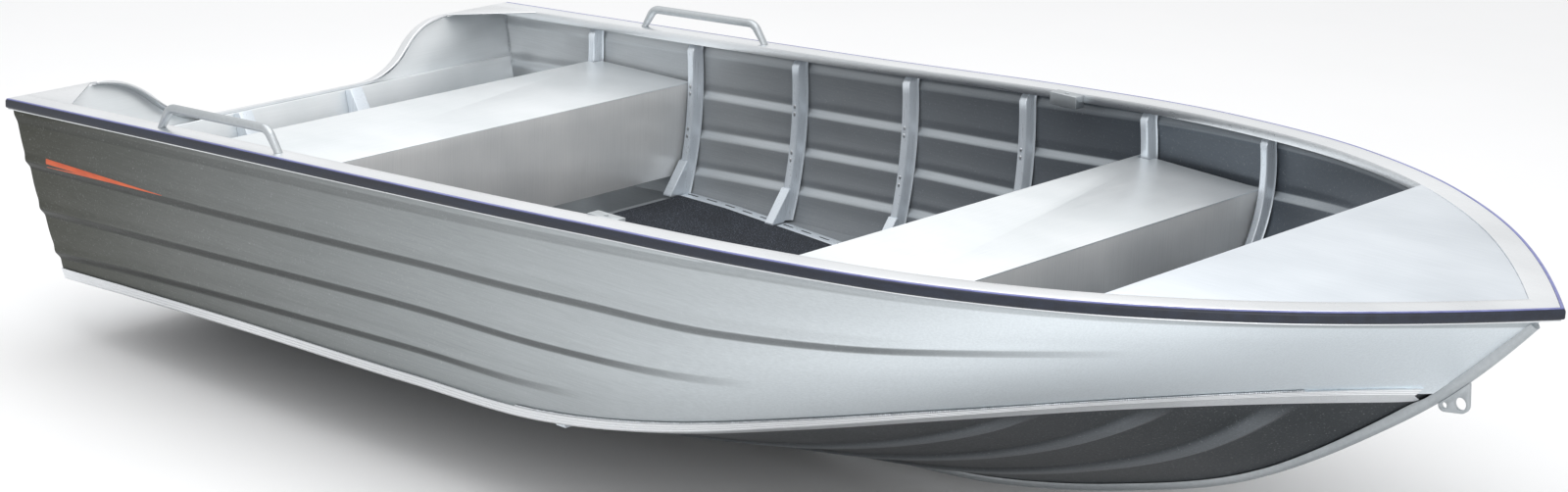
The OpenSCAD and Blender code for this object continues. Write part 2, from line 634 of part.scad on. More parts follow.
module foredeck() {
  d = gunwale_w + fit;
  fore = bow_meeting(d);
  tilt = atan((sheer_z(fore) - sheer_z(foredeck_x)) / (fore - foredeck_x));
  edge = [
    for (k = [0:DECK_STEPS]) let (p = inset(foredeck_x + (fore - foredeck_x) * fine_share(k, DECK_STEPS), d))
      [(p[0] - foredeck_x) / cos(tilt), max(p[1], 0)]
  ];
  first = [0, edge[0][1]];
  color(alloy_pale) placed() translate([foredeck_x, 0, sheer_z(foredeck_x)]) rotate([0, -tilt, 0]) {
    translate([0, 0, -deck_t]) linear_extrude(deck_t)
      polygon(concat([first], [for (k = [1:DECK_STEPS]) edge[k]], [for (k = [DECK_STEPS - 1:-1:1]) [edge[k][0], -edge[k][1]]], [[0, -first[1]]]));
    translate([0, -first[1] + fold_h, -fold_h]) cube([deck_t, 2 * (first[1] - fold_h), fold_h - deck_t]);
  }
}

rowlock_y = sheer_y(rowlock_x) - gunwale_w - fit - rowlock_w / 2;
module rowlock() {
  color(alloy_pale) placed() translate([rowlock_x, rowlock_y, sheer_z(rowlock_x) - rowlock_h / 2 - 1]) difference() {
    cube([rowlock_l, rowlock_w, rowlock_h], center = true);
    cylinder(d = rowlock_bore, h = 2 * rowlock_h, center = true, $fn = ROUND);
  }
}
// The line of a grab handle in its own plane: along the gunwale and up, from the aft foot
bar_h = handle_h - tube_d / 2;
leg_angle = atan2(bar_h, handle_lean);
bend_run = handle_bend * tan(leg_angle / 2);
BEND_STEPS = 6;
handle_half = [
  [0, 0, leg_angle],
  for (k = [0:BEND_STEPS])
    let (a = leg_angle * (1 - k / BEND_STEPS))
    [handle_lean + bend_run - handle_bend * sin(a), bar_h - handle_bend * (1 - cos(a)), a]
];
TUBE_SIDES = 12;
module handle() {
  foot = inset(handle_x, (gunwale_w + rub_w) / 2, fit);
  run = inset(handle_x + handle_l, (gunwale_w + rub_w) / 2, fit) - foot;
  line = concat(handle_half, [for (p = reversed(handle_half)) [handle_l - p[0], p[1], -p[2]]]);
  color(alloy_pale) placed() translate(foot)
    rotate([0, -atan2(run[2], run[0]), atan2(run[1], run[0])]) loft([
      for (p = line)
        let (foot_cut = p[1] == 0)
        [
          for (j = [0:TUBE_SIDES - 1])
            let (
              a = -360 * (j + 0.5) / TUBE_SIDES,
              out = tube_d / 2 * sin(a),
              across = tube_d / 2 * cos(a)
            )
            foot_cut ? [p[0] - out / sin(p[2]), across, 0]
            : [p[0] - out * sin(p[2]), across, p[1] + out * cos(p[2])]
        ]
    ]);
}
eye_x = 0.9465 * hull_length;
eye_z = keel_z(eye_x) - 1.25 * eye_bore;
module bow_eye() {
  rim = eye_bore / 4;
  big = eye_bore / 2 + rim;
  small = [-1.35 * eye_bore, -0.44 * eye_bore];
  color(alloy_pale) placed() difference() {
    translate([eye_x, eye_t / 2, eye_z]) rotate([90, 0, 0]) linear_extrude(eye_t) hull() {
      circle(r = big, $fn = 32);
      translate(small) circle(r = eye_small_bore / 2 + rim, $fn = 32);
      translate([small[0] - rim, big]) circle(r = rim, $fn = 32);
      translate([big / 2, 2.2 * big]) circle(r = rim, $fn = 32);
    }
    stem_cut();
    translate([eye_x, 0, eye_z]) rotate([90, 0, 0]) cylinder(d = eye_bore, h = 4 * eye_t, center = true, $fn = ROUND);
    translate([eye_x + small[0], 0, eye_z + small[1]]) rotate([90, 0, 0])
      cylinder(d = eye_small_bore, h = 4 * eye_t, center = true, $fn = ROUND);
  }
}
// The space on the hull's side of the stem
module stem_cut() {
  from = eye_x - 6 * eye_bore;
  to = eye_x + 4 * eye_bore;
  rotate([90, 0, 0]) linear_extrude(4 * eye_t, center = true)
    polygon([
      for (k = [0:10]) let (x = from + (to - from) * k / 10) [x, keel_z(x) - fit * norm([1, keel_slope(x)])],
      [from, keel_z(to)]
    ]);
}

side_panel();  // side_panel_port
starboard() side_panel();  // side_panel_starboard
bottom_panel();  // bottom_panel_port
starboard() bottom_panel();  // bottom_panel_starboard
chine_strip();  // chine_strip_port
starboard() chine_strip();  // chine_strip_starboard
keel_bar();
bow_eye();
gunwale();  // gunwale_port
starboard() gunwale();  // gunwale_starboard
rub_strip();  // rub_strip_port
starboard() rub_strip();  // rub_strip_starboard
transom_plate();
transom_cap();
transom_board();
motor_pad();
transom_knees();
drain_socket();
corner_plate();  // corner_plate_port
starboard() corner_plate();  // corner_plate_starboard
frame(1);  // frame_1
frame(2);  // frame_2
frame(3);  // frame_3
frame(4);  // frame_4
frame(5);  // frame_5
frame(6);  // frame_6
frame(7);  // frame_7
floor_bearers();
floor_panel();
floor_rails();
aft_thwart_top();
aft_thwart_front();
fore_thwart_top();
fore_thwart_front();
fore_thwart_back();
foredeck();
rowlock();  // rowlock_port
starboard() rowlock();  // rowlock_starboard
handle();  // handle_port
starboard() handle();  // handle_starboard
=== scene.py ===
"""Open aluminium boat: finishes, fine sheet work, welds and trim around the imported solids."""
import math

import bmesh
import bpy
from mathutils import Matrix, Vector


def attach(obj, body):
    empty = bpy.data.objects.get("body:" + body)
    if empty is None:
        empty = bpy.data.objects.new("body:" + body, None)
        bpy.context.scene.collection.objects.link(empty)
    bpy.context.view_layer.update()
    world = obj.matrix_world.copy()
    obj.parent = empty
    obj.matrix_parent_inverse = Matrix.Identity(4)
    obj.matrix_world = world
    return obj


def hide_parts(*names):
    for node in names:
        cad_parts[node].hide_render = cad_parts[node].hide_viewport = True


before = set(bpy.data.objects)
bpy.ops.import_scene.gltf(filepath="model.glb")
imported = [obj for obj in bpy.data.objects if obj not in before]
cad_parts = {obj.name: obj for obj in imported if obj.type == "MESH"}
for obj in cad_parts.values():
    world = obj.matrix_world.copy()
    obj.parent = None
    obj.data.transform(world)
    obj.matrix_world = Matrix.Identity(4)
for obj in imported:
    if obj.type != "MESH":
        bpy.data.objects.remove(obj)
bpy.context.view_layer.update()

# Lengths in millimetres from the transom and the keel, as in the part's source
HULL_LENGTH = 4600.0
HALF_BEAM = 1065.0
BOW_HEIGHT = 944.0
DRAFT = 150.0
ORIGIN_X = HULL_LENGTH / 2
TRIM_RUN = 450.0
STEP_IN = 12.0
LEDGE = 22.0
RIB_H = 10.0
RIB_W = 36.0
RIB_FIRST = 200.0
RIB_PITCH = 210.0
RIB_SLOPE = 14.0
RIB_COUNT = 3
SIDE_T = 4.0
BOTTOM_T = 5.0
CHINE_T = 5.0
CHINE_LEG = 34.0
KEEL_W = 44.0
KEEL_D = 14.0
STEM_D = 12.0
GUNWALE_W = 80.0
GUNWALE_T = 4.0
LIP_H = 28.0
RUB_W = 12.0
RUB_H = 29.0
FIT = 0.3
FRAME_FIRST = .101 * HULL_LENGTH
FRAME_PITCH = .097 * HULL_LENGTH
FRAME_W = 50.0
FRAME_CREST = 26.0
FRAME_D = 36.0
FRAME_COUNT = 7
FLOOR_Z = 262.0
FLOOR_T = 12.0
TUBE_D = 26.0
HANDLE_L = 520.0
HANDLE_H = 74.0
HANDLE_X = .15 * HULL_LENGTH
HANDLE_LEAN = 42.0
HANDLE_BEND = 40.0
TRANSOM_RAKE = 146.0
LEAST_SINE = 0.5
BOW_FINE = 1.35

# Details that only the looks have
GROOVES = (27, 18, 9)
GROOVE_TOP = 2.2
GROOVE_FLOOR = .8
GROOVE_D = 1.6
CORNER_EASE = 2.5
STEP_ROUND = 7
RIB_ROUND = 6
STRIPE_FROM = 124.0
STRIPE_TO = 727.0
STRIPE_Z = (573.0, 586.0)
STRIPE_H = 25.0
STRIPE_TIP = 1.2
STRIPE_T = .6
STRIPE_SUNK = .3
BEAD_PITCH = 5.5
BEAD_UNEVEN = .35
BEAD_SEED = 7
BEAD_LIFT = 2.2
BEAD_OFF = 1.5
CHINE_BEADS = (.5, .44)
CORNER_BEADS = (.07, .86)
SLOT_L = 46.0
SLOT_W = 7.0
SLOT_PITCH = 82.0
SLOT_INSET = 22.0
SLOT_END = 30.0
SHOE_FRAMES = (2, 3, 4, 5)
SHOE_W = 34.0
SHOE_H = 105.0
SHOE_RUN = 52.0
SHOE_T = 5.0
SHOE_EASE = 1.5
SHOE_SUNK = 3
SPOT_FRAMES = (2, 3, 4, 5, 6)
SPOT_LEVELS = (.35, .62)
SPOT_GAP = 24
SPOT_L = 3
FLOOR_SIZE = 40
FLOOR_DROP = .002
TUBE_SIDES = 24
SHAPE_SIDES = 8

# Hull lines as shares of length, half beam and bow height
SHEER_PLAN = (
    (0, .972), (.174, .977), (.348, .989), (.522, 1), (.652, .973),
    (.761, .869), (.848, .681), (.924, .407), (1, 0))
SHEER_RISE = ((0, .775), (.326, .872), (.652, .971), (.848, .998), (1, 1))
CHINE = (
    (0, .887, .196), (.072, .9, .214), (.2, .92, .249), (.376, .925, .277),
    (.485, .927, .304), (.584, .917, .395), (.659, .853, .487), (.734, .721, .575),
    (.807, .477, .635), (.886, .155, .67), (.932, .018, .692))
KEEL = (
    (0, 0), (.348, 0), (.478, 0), (.565, .033), (.652, .074), (.739, .171),
    (.826, .321), (.891, .515), (.946, .725), (.986, .931))
SWELL = ((0, .011), (.2, .024), (.5, .028), (.7, .047), (.85, .036), (.95, .006), (1, 0))
SWELL_FROM = .09
STEPS = (
    (0, .08, .33, .6, .85), (.2, .078, .338, .582, .81), (.45, .075, .332, .565, .785),
    (.55, .072, .342, .592, .805), (.65, .065, .378, .642, .842), (.75, .066, .39, .69, .872),
    (.85, .08, .36, .698, .88), (1, .14, .4, .7, .93))
STEP_END = (1.5, .86, .68, .56)
STEP_FADE = .12

CHINE_END = CHINE[-1][0] * HULL_LENGTH
KEEL_END = KEEL[-1][0] * HULL_LENGTH
CORNER_INSET = CHINE_T + FIT
TOP_INSET = RUB_W + GUNWALE_T + FIT
STERN_Z = BOW_HEIGHT * SHEER_RISE[0][1]
RAKE_SINE = .25807
RAKE = TRANSOM_RAKE / (BOW_HEIGHT * (SHEER_RISE[0][1] - CHINE[0][2]))
FRAME_GAP = STEP_IN / 2 + SIDE_T + FIT

# Stations of the fine sheet work
PLATE_STATIONS = 150
TRIM_STATIONS = 170
CHINE_STATIONS = 166
BAR_STATIONS = 160
FRAME_LEVELS = 16
STRIPE_STATIONS = 40
BEND_CUTS = 12


# Hull lines
def slope(t, c, i):
    return (t[i + 1][c] - t[i][c]) / (t[i + 1][0] - t[i][0])


def mid_slope(t, c, i):
    before = t[i][0] - t[i - 1][0]
    after = t[i + 1][0] - t[i][0]
    return (slope(t, c, i - 1) * after + slope(t, c, i) * before) / (before + after)


def tangent(t, c, i):
    if i == 0:
        return 2 * slope(t, c, 0) - mid_slope(t, c, 1)
    if i == len(t) - 1:
        return 2 * slope(t, c, i - 1) - mid_slope(t, c, i - 1)
    return mid_slope(t, c, i)


def fair(t, c, s):
    """A smooth curve through a table, by cubic spans whose slopes come from parabolas."""
    i = 0
    while i < len(t) - 2 and s >= t[i + 1][0]:
        i += 1
    h = t[i + 1][0] - t[i][0]
    q = (s - t[i][0]) / h
    return (t[i][c] * (1 + 2 * q) * (1 - q) ** 2 + t[i + 1][c] * q * q * (3 - 2 * q)
            + h * q * (1 - q) * ((1 - q) * tangent(t, c, i) - q * tangent(t, c, i + 1)))


def clamp(a, low, high):
    return min(max(a, low), high)


def unit(v):
    size = math.sqrt(sum(a * a for a in v))
    return tuple(a / size for a in v)


def fine_share(k, n):
    return 1 - (1 - k / n) ** BOW_FINE


def sheer_y(x):
    return HALF_BEAM * fair(SHEER_PLAN, 1, x / HULL_LENGTH)


def sheer_z(x):
    return BOW_HEIGHT * fair(SHEER_RISE, 1, x / HULL_LENGTH)


def chine_y(x):
    return HALF_BEAM * fair(CHINE, 1, x / HULL_LENGTH)


def chine_z(x):
    return BOW_HEIGHT * fair(CHINE, 2, x / HULL_LENGTH)


def keel_z(x):
    return BOW_HEIGHT * fair(KEEL, 1, x / HULL_LENGTH)


def keel_slope(x):
    return keel_z(x + .5) - keel_z(x - .5)


def bar_depth(x):
    return KEEL_D + STEM_D * clamp((x / HULL_LENGTH - .84) / .1, 0, 1)


def apex_z(x):
    return keel_z(x) + bar_depth(x) * math.hypot(1, keel_slope(x))


def trimmed(p):
    return (p[0] + (STERN_Z - p[2]) * RAKE * max(0, 1 - p[0] / TRIM_RUN), p[1], p[2])


def inset(x, d, h=0.0):
    """A point d inboard of the gunwale's outer edge and h above it."""
    m = (sheer_y(x + 1) - sheer_y(x - 1)) / 2
    n = math.hypot(1, m)
    return (x + d * m / n, sheer_y(x) - d / n, sheer_z(x) + h)


def bow_meeting(d):
    """The station whose inset point lies on the centreline."""
    low, high = .8 * HULL_LENGTH, HULL_LENGTH
    for _ in range(26):
        mid = (low + high) / 2
        if inset(mid, d)[1] > 0:
            low = mid
        else:
            high = mid
    return (low + high) / 2


TOP_END = bow_meeting(TOP_INSET)


def chine_frame(x):
    """Corner of side and bottom, ways up the side and to the keel, way inboard, held-up sine."""
    cy, cz = chine_y(x), chine_z(x)
    a = unit((sheer_y(x) - cy, sheer_z(x) - cz))
    b = unit((-cy, apex_z(x) - cz))
    ky, kz = a[0] - b[0], a[1] - b[1]
    way = 2 / (ky * ky + kz * kz)
    return (cy, cz), a, b, (-kz * way, ky * way), max(a[0] * b[1] - a[1] * b[0], LEAST_SINE)


def chine_point(x, d):
    c, _, _, way, _ = chine_frame(x)
    return (x, max(c[0] + way[0] * d, 4), c[1] + way[1] * d)


def mix(p, q, v):
    return tuple(a * (1 - v) + b * v for a, b in zip(p, q))


# Side plating: u runs to the bow and v from the gunwale down to the chine
def side_top(u):
    return inset(u * TOP_END, TOP_INSET, -GUNWALE_T - SIDE_T)


def side_low(u):
    return chine_point(u * CHINE_END, CORNER_INSET)


def side_normal(u):
    top, low = side_top(u), side_low(u)
    t = unit((low[1] - top[1], low[2] - top[2]))
    return (0, -t[1], t[0])


def side_point(u, v):
    swell = HALF_BEAM * max(0, fair(SWELL, 1, u))
    w = max(0, v - SWELL_FROM) / (1 - SWELL_FROM)
    out = swell * 4 * w * (1 - w)
    return tuple(p + n * out for p, n in zip(mix(side_top(u), side_low(u), v), side_normal(u)))


def side_height(u):
    top, low = side_top(u), side_low(u)
    return math.dist(top, low)


def step_size(u, k):
    return STEP_IN / 2 * (.5 if k == 0 else 1) * clamp((STEP_END[k] - u) / STEP_FADE, 0, 1)


def step_place(u, k):
    return fair(STEPS, k + 1, u) if k < len(STEP_END) else 1


def side_columns(u):
    height = side_height(u)
    columns = [(0, 0), (RUB_H / height, 0)]
    for k in range(len(STEP_END)):
        above, size = step_place(u, k), step_size(u, k)
        below, following = above + LEDGE / height, step_place(u, k + 1)
        columns += [(above, size), (below, -size)]
        for share in (.2, .4, .6, .8):
            e = -2 * size * (.5 - share) if share < .5 else 0
            columns.append((below + (following - below) * share, e))
    return columns + [(1, 0)]


def softened(points, radius, cuts=3):
    """Rounds each inner corner of an open line of 2D points."""
    line = [points[0]]
    for a, b, c in zip(points, points[1:], points[2:]):
        before, after = math.dist(a, b), math.dist(b, c)
        p = mix(b, a, min(radius / max(before, 1e-6), .45))
        q = mix(b, c, min(radius / max(after, 1e-6), .45))
        for k in range(cuts + 1):
            s = k / cuts
            line.append(mix(mix(p, b, s), mix(b, q, s), s))
    return line + [points[-1]]


def skinned(u, v, e, least):
    p, n = side_point(u, v), side_normal(u)
    return trimmed((p[0], max(p[1] + n[1] * e, least), p[2] + n[2] * e))


def side_line(u):
    """Height of the side and its stepped line, as (distance down, way out), corners rounded."""
    height = side_height(u)
    return height, softened([(v * height, e) for v, e in side_columns(u)], STEP_ROUND)


# The ledge mask carries the painted shadow and highlight of the side's pressed ledges.
def side_bands(u):
    """How much each point of the side's loop belongs to a ledge, from 0 to 1."""
    height, line = side_line(u)
    share = [0.0] * len(line)
    for k in range(len(STEP_END)):
        top = step_place(u, k) * height
        size = step_size(u, k) / (STEP_IN / 2)
        for i, (t, _) in enumerate(line):
            if top - 1 <= t <= top + LEDGE + 3:
                share[i] = max(share[i], size)
    return share + share[::-1]


def side_loop(u):
    height, line = side_line(u)
    outer = [skinned(u, t / height, e, 1.5) for t, e in line]
    inner = [skinned(u, t / height, e - SIDE_T, 0) for t, e in line]
    return outer + inner[::-1]


def side_at(x, v):
    return side_point(x / (TOP_END * (1 - v) + CHINE_END * v), v)


def inside(x, v, d=0.0):
    p, n = side_at(x, v), side_normal(x / TOP_END)
    return tuple(a - b * (FRAME_GAP + d) for a, b in zip(p, n))


def find_v(x, z):
    v, span = .5, inside(x, 0)[2] - inside(x, 1)[2]
    for _ in range(7):
        v += (inside(x, v)[2] - z) / span
    return v


# Bottom plating
RIBS = [
    (RIB_FIRST + k * RIB_PITCH + side * RIB_W / 2 + out * RIB_SLOPE, drop)
    for k in range(RIB_COUNT)
    for side, out, drop in ((-1, -1, 0), (-1, 0, 1), (1, 0, 1), (1, 1, 0))]
BOTTOM_COLUMNS = len(RIBS) + 2


def bottom_edge(x):
    c, _, b, way, sine = chine_frame(x)
    run = (SIDE_T + FIT) / sine
    return (max(c[0] + way[0] * CORNER_INSET + b[0] * run, 4),
            c[1] + way[1] * CORNER_INSET + b[1] * run)


def bottom_lift(x):
    edge = bottom_edge(x)
    return BOTTOM_T * math.hypot(1, (edge[1] - apex_z(x)) / edge[0])


def bottom_line(x):
    """Half-breadths and rib depths across the bottom, with the ribs' corners rounded."""
    edge = bottom_edge(x)[0]
    crowd = min(3, edge / BOTTOM_COLUMNS)
    line = [(0.0, 0.0)]
    for j, (y, drop) in enumerate(RIBS, 1):
        depth = RIB_H * drop * clamp((chine_y(x) - y - RIB_W) / (2 * RIB_W), 0, 1)
        line.append((min(y, edge - (BOTTOM_COLUMNS - 1 - j) * crowd), depth))
    return softened(line + [(edge, 0.0)], RIB_ROUND)


def bottom_loop(x):
    edge, apex, lift = bottom_edge(x), apex_z(x), bottom_lift(x)
    line = bottom_line(x)

    def point(y, drop, rise):
        s = y / edge[0]
        return trimmed((x, y, apex * (1 - s) + edge[1] * s - drop + rise))
    return [point(y, d, 0) for y, d in line] + [point(y, d, lift) for y, d in line[::-1]]


# The rib mask carries the painted highlight on the bottom's ribs.
def bottom_bands(x):
    line = [min(drop / RIB_H, 1) for _, drop in bottom_line(x)]
    return line + line[::-1]


# Mesh work
def place(p):
    return ((p[0] - ORIGIN_X) / 1000, p[1] / 1000, (p[2] - DRAFT) / 1000)


def mirrored(points):
    return [(p[0], -p[1], p[2]) for p in points]


def finished(name, mesh, finish, sharp=28):
    """Makes a mesh one smooth outward-facing piece of one finish."""
    work = bmesh.new()
    work.from_mesh(mesh)
    bmesh.ops.remove_doubles(work, verts=work.verts, dist=2e-6)
    bmesh.ops.recalc_face_normals(work, faces=work.faces)
    work.to_mesh(mesh)
    work.free()
    mesh.polygons.foreach_set("use_smooth", [True] * len(mesh.polygons))
    mesh.set_sharp_from_angle(angle=math.radians(sharp))
    if not mesh.materials:
        mesh.materials.append(finish)
    piece = bpy.data.objects.new(name, mesh)
    bpy.context.scene.collection.objects.link(piece)
    return piece


def lofted(name, loops, finish, sharp=28, bands=None):
    """A closed skin over like loops of points, in millimetres, capped at both ends."""
    n, rows = len(loops[0]), len(loops)
    points = [place(p) for loop in loops for p in loop]
    faces = []
    for i in range(rows - 1):
        for j in range(n):
            a, b = i * n + j, i * n + (j + 1) % n
            faces.append((a, b, b + n, a + n))
    faces += [tuple(range(n))[::-1], tuple(range((rows - 1) * n, rows * n))]
    mesh = bpy.data.meshes.new(name)
    mesh.from_pydata(points, [], faces)
    # The ledge attribute is the mask that the finishes use for light painted on ledges and ribs.
    if bands:
        layer = mesh.attributes.new("ledge", "FLOAT", "POINT")
        layer.data.foreach_set("value", [share for row in bands for share in row])
    return finished(name, mesh, finish, sharp)


def joined(name, pieces, finish, sharp=28):
    """Several pieces made one."""
    work = bmesh.new()
    for piece in pieces:
        work.from_mesh(piece.data)
    mesh = bpy.data.meshes.new(name)
    work.to_mesh(mesh)
    work.free()
    for piece in pieces:
        old = piece.data
        bpy.data.objects.remove(piece)
        bpy.data.meshes.remove(old)
    return finished(name, mesh, finish, sharp)


def fitted(piece, slot, *nodes):
    """Settles a piece on the hull, in place of its solids; its slot is not used."""
    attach(piece, "root")
    if nodes:
        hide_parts(*nodes)
    return piece


def evaluated_mesh(piece):
    """Gives a piece the plain mesh that its modifiers make, and takes them off."""
    bpy.context.view_layer.update()
    evaluated = piece.evaluated_get(bpy.context.evaluated_depsgraph_get())
    result = bpy.data.meshes.new_from_object(evaluated)
    piece.modifiers.clear()
    piece.data = result
    return result


def eased(node, finish, slot, width=2.5, sharp=40):
    """A solid's own shape with its edges eased, standing in for it."""
    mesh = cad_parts[node].data.copy()
    mesh.materials.clear()
    work = bmesh.new()
    work.from_mesh(mesh)
    bmesh.ops.remove_doubles(work, verts=work.verts, dist=2e-6)
    bmesh.ops.dissolve_limit(work, angle_limit=math.radians(1), verts=work.verts, edges=work.edges)
    work.to_mesh(mesh)
    work.free()
    piece = finished(node + "_sheet", mesh, finish, sharp)
    bevel = piece.modifiers.new("eased", "BEVEL")
    bevel.width = width / 1000
    bevel.segments = 2
    bevel.limit_method = "ANGLE"
    bevel.angle_limit = math.radians(sharp)
    bevel.harden_normals = False
    result = evaluated_mesh(piece)
    result.polygons.foreach_set("use_smooth", [True] * len(result.polygons))
    result.set_sharp_from_angle(angle=math.radians(sharp))
    return fitted(piece, slot, node)


# Finishes
def node(tree, kind, **inputs):
    made = tree.nodes.new("ShaderNode" + kind)
    for key, value in inputs.items():
        socket = made.inputs[key.replace("_", " ")]
        if isinstance(value, bpy.types.NodeSocket):
            tree.links.new(value, socket)
        else:
            socket.default_value = value
    return made


def blank(name):
    finish = bpy.data.materials.new(name)
    finish.use_nodes = True
    tree = finish.node_tree
    shader = tree.nodes["Principled BSDF"]
    place_node = tree.nodes.new("ShaderNodeTexCoord")
    return finish, tree, shader, place_node.outputs["Object"]


def grain(tree, coords, scale, stretch, detail=5.0, rough=.6):
    """Noise stretched along or across the piece, from 0 to 1."""
    turned = node(tree, "Mapping", Vector=coords, Scale=stretch)
    return node(tree, "TexNoise", Vector=turned.outputs[0], Scale=scale, Detail=detail,
                Roughness=rough).outputs["Fac"]


def spread(tree, value, low, high, out_low, out_high):
    made = node(tree, "MapRange", Value=value)
    for key, number in zip(("From Min", "From Max", "To Min", "To Max"), (low, high, out_low, out_high)):
        made.inputs[key].default_value = number
    return made.outputs[0]


def blended(tree, factor, a, b, kind="MIX"):
    made = tree.nodes.new("ShaderNodeMix")
    made.data_type = "RGBA"
    made.blend_type = kind
    for socket, value in ((made.inputs[0], factor), (made.inputs[6], a), (made.inputs[7], b)):
        if isinstance(value, bpy.types.NodeSocket):
            tree.links.new(value, socket)
        elif isinstance(value, tuple):
            socket.default_value = (*value, 1)
        else:
            socket.default_value = value
    return made.outputs[2]


def roughened(tree, shader, height, strength, distance):
    bump = node(tree, "Bump", Height=height, Strength=strength, Distance=distance)
    tree.links.new(bump.outputs[0], shader.inputs["Normal"])


def power(tree, value, exponent):
    made = node(tree, "Math")
    made.operation = "POWER"
    tree.links.new(value, made.inputs[0])
    made.inputs[1].default_value = exponent
    return made.outputs[0]


def sheet_metal(name, dark, light, rough, stretch, metal=1.0, streak=.5, painted_light_run=None, ledge=None):
    """Rolled sheet: fine streaks with the rolling, cloudy tone, and handling scratches, with optional painted
    light.

    The run along the length, (aft x, forward x, tone there, bend), blends the tone towards another from aft
    to forward: painted reflection and shade. The ledge tone, (tone, share), is painted on the pressed ledges:
    darker for painted shadow, lighter for painted highlight.
    """
    finish, tree, shader, coords = blank(name)
    lines = grain(tree, coords, 9, stretch, 8, .72)
    clouds = grain(tree, coords, 2.2, (1, 1.6, 1.6), 3, .5)
    specks = grain(tree, coords, 170, (1, 1, 1), 3, .6)
    tone = blended(tree, spread(tree, clouds, .3, .7, 0, 1), dark, light)
    # Painted light along the hull: the tone is blended towards another from aft to forward, painted
    # reflection on the side's outer faces and painted shade inside.
    if painted_light_run:
        axes = node(tree, "SeparateXYZ", Vector=coords)
        along = power(tree, spread(tree, axes.outputs[0], painted_light_run[0], painted_light_run[1], 0, 1), painted_light_run[3])
        tone = blended(tree, along, tone, painted_light_run[2])
    # Painted light on the pressed ledges and ribs: a darker tone is painted shadow under the side's steps, a
    # lighter one is painted highlight.
    if ledge:
        band = tree.nodes.new("ShaderNodeAttribute")
        band.attribute_name = "ledge"
        tone = blended(tree, spread(tree, band.outputs["Fac"], 0, 1, 0, ledge[1]), tone, ledge[0])
    wear_and_painted_light = blended(tree, spread(tree, lines, .3, .7, 0, streak), tone, (.02, .022, .024))
    wear_and_painted_light = blended(tree, spread(tree, specks, .6, .8, 0, streak * 1.5), wear_and_painted_light, (.85, .88, .9))
    tree.links.new(wear_and_painted_light, shader.inputs["Base Color"])
    tree.links.new(spread(tree, lines, .3, .75, rough - .06, rough + .1), shader.inputs["Roughness"])
    shader.inputs["Metallic"].default_value = metal
    roughened(tree, shader, lines, .12, .0004)
    return finish


LENGTHWAYS = (.6, 34, 34)
ATHWART = (34, .6, 34)
UPRIGHT = (34, 34, .6)
ALL_WAYS = (8, 8, 8)
finishes = {
    # Side outer faces: very dark tone aft brightening to silver towards the bow, painted reflection and
    # shade; darker ledges, painted shadow under the steps.
    "side": sheet_metal("side_sheet", (.062, .064, .052), (.085, .086, .074), .4, LENGTHWAYS, streak=.14,
                        painted_light_run=(-2.25, 1.65, (.8, .86, .9), 1.25), ledge=((.03, .032, .032), .62)),
    # Bottom outer faces: dark tone, painted shade under the hull; lighter ribs, painted highlight.
    "bottom": sheet_metal("bottom_sheet", (.055, .062, .068), (.085, .092, .1), .4, LENGTHWAYS, streak=.2,
                          ledge=((.34, .37, .4), .55)),
    # Inside faces: darker towards the bow, painted shade; lighter ledges and ribs, painted highlight.
    "inside": sheet_metal("inside_sheet", (.62, .65, .67), (.74, .77, .79), .42, LENGTHWAYS, metal=.45,
                          streak=.12, painted_light_run=(-2.2, .5, (.1, .118, .14), .62), ledge=((.7, .76, .8), .4)),
    "bright": sheet_metal("bright_extrusion", (.72, .74, .76), (.84, .86, .88), .3, LENGTHWAYS, streak=.08),
    "pale": sheet_metal("pale_sheet", (.74, .78, .8), (.86, .89, .91), .4, ATHWART, metal=.7, streak=.05),
    "deck": sheet_metal("deck_sheet", (.6, .64, .68), (.7, .74, .78), .48, LENGTHWAYS, metal=.8,
                        streak=.06),
    "front": sheet_metal("front_sheet", (.72, .73, .73), (.86, .86, .85), .36, UPRIGHT, metal=.3,
                         streak=.1),
    "frame": sheet_metal("frame_pressing", (.66, .72, .78), (.8, .86, .92), .3, UPRIGHT, metal=.4,
                         streak=.08),
    "cast": sheet_metal("cast_fitting", (.4, .43, .45), (.52, .55, .57), .42, ALL_WAYS, streak=.1),
    "weld": sheet_metal("weld_metal", (.5, .52, .54), (.8, .83, .86), .34, (20, 20, 20), metal=.8,
                        streak=.3),
    "shade": sheet_metal("slot_shadow", (.02, .022, .026), (.035, .038, .045), .7, ALL_WAYS, metal=.2,
                         streak=.1),
}


def rubber_finish():
    finish, tree, shader, coords = blank("black_rubber")
    cloud = grain(tree, coords, 14, (.4, 3, 3), 4)
    dust = grain(tree, coords, 260, (1, 1, 1), 2)
    tone = blended(tree, spread(tree, cloud, .35, .7, 0, .7), (.007, .01, .02), (.016, .024, .046))
    tone = blended(tree, spread(tree, dust, .62, .8, 0, .25), tone, (.12, .13, .15))
    tree.links.new(tone, shader.inputs["Base Color"])
    tree.links.new(spread(tree, cloud, .3, .7, .34, .5), shader.inputs["Roughness"])
    roughened(tree, shader, dust, .15, .0003)
    return finish


def carpet_finish():
    finish, tree, shader, coords = blank("speckled_carpet")
    tuft = grain(tree, coords, 420, (1, 1, 1), 3, .7)
    speck = grain(tree, coords, 240, (1, 1, 1), 1, .5)
    patch = grain(tree, coords, 6, (1, 1, 1), 3, .5)
    tone = blended(tree, spread(tree, tuft, .35, .7, 0, 1), (.006, .008, .012), (.03, .036, .05))
    tone = blended(tree, spread(tree, speck, .6, .7, 0, .8), tone, (.2, .24, .3))
    tone = blended(tree, spread(tree, patch, .4, .7, 0, .35), tone, (.004, .005, .008))
    tree.links.new(tone, shader.inputs["Base Color"])
    shader.inputs["Roughness"].default_value = .95
    roughened(tree, shader, tuft, .7, .003)
    return finish


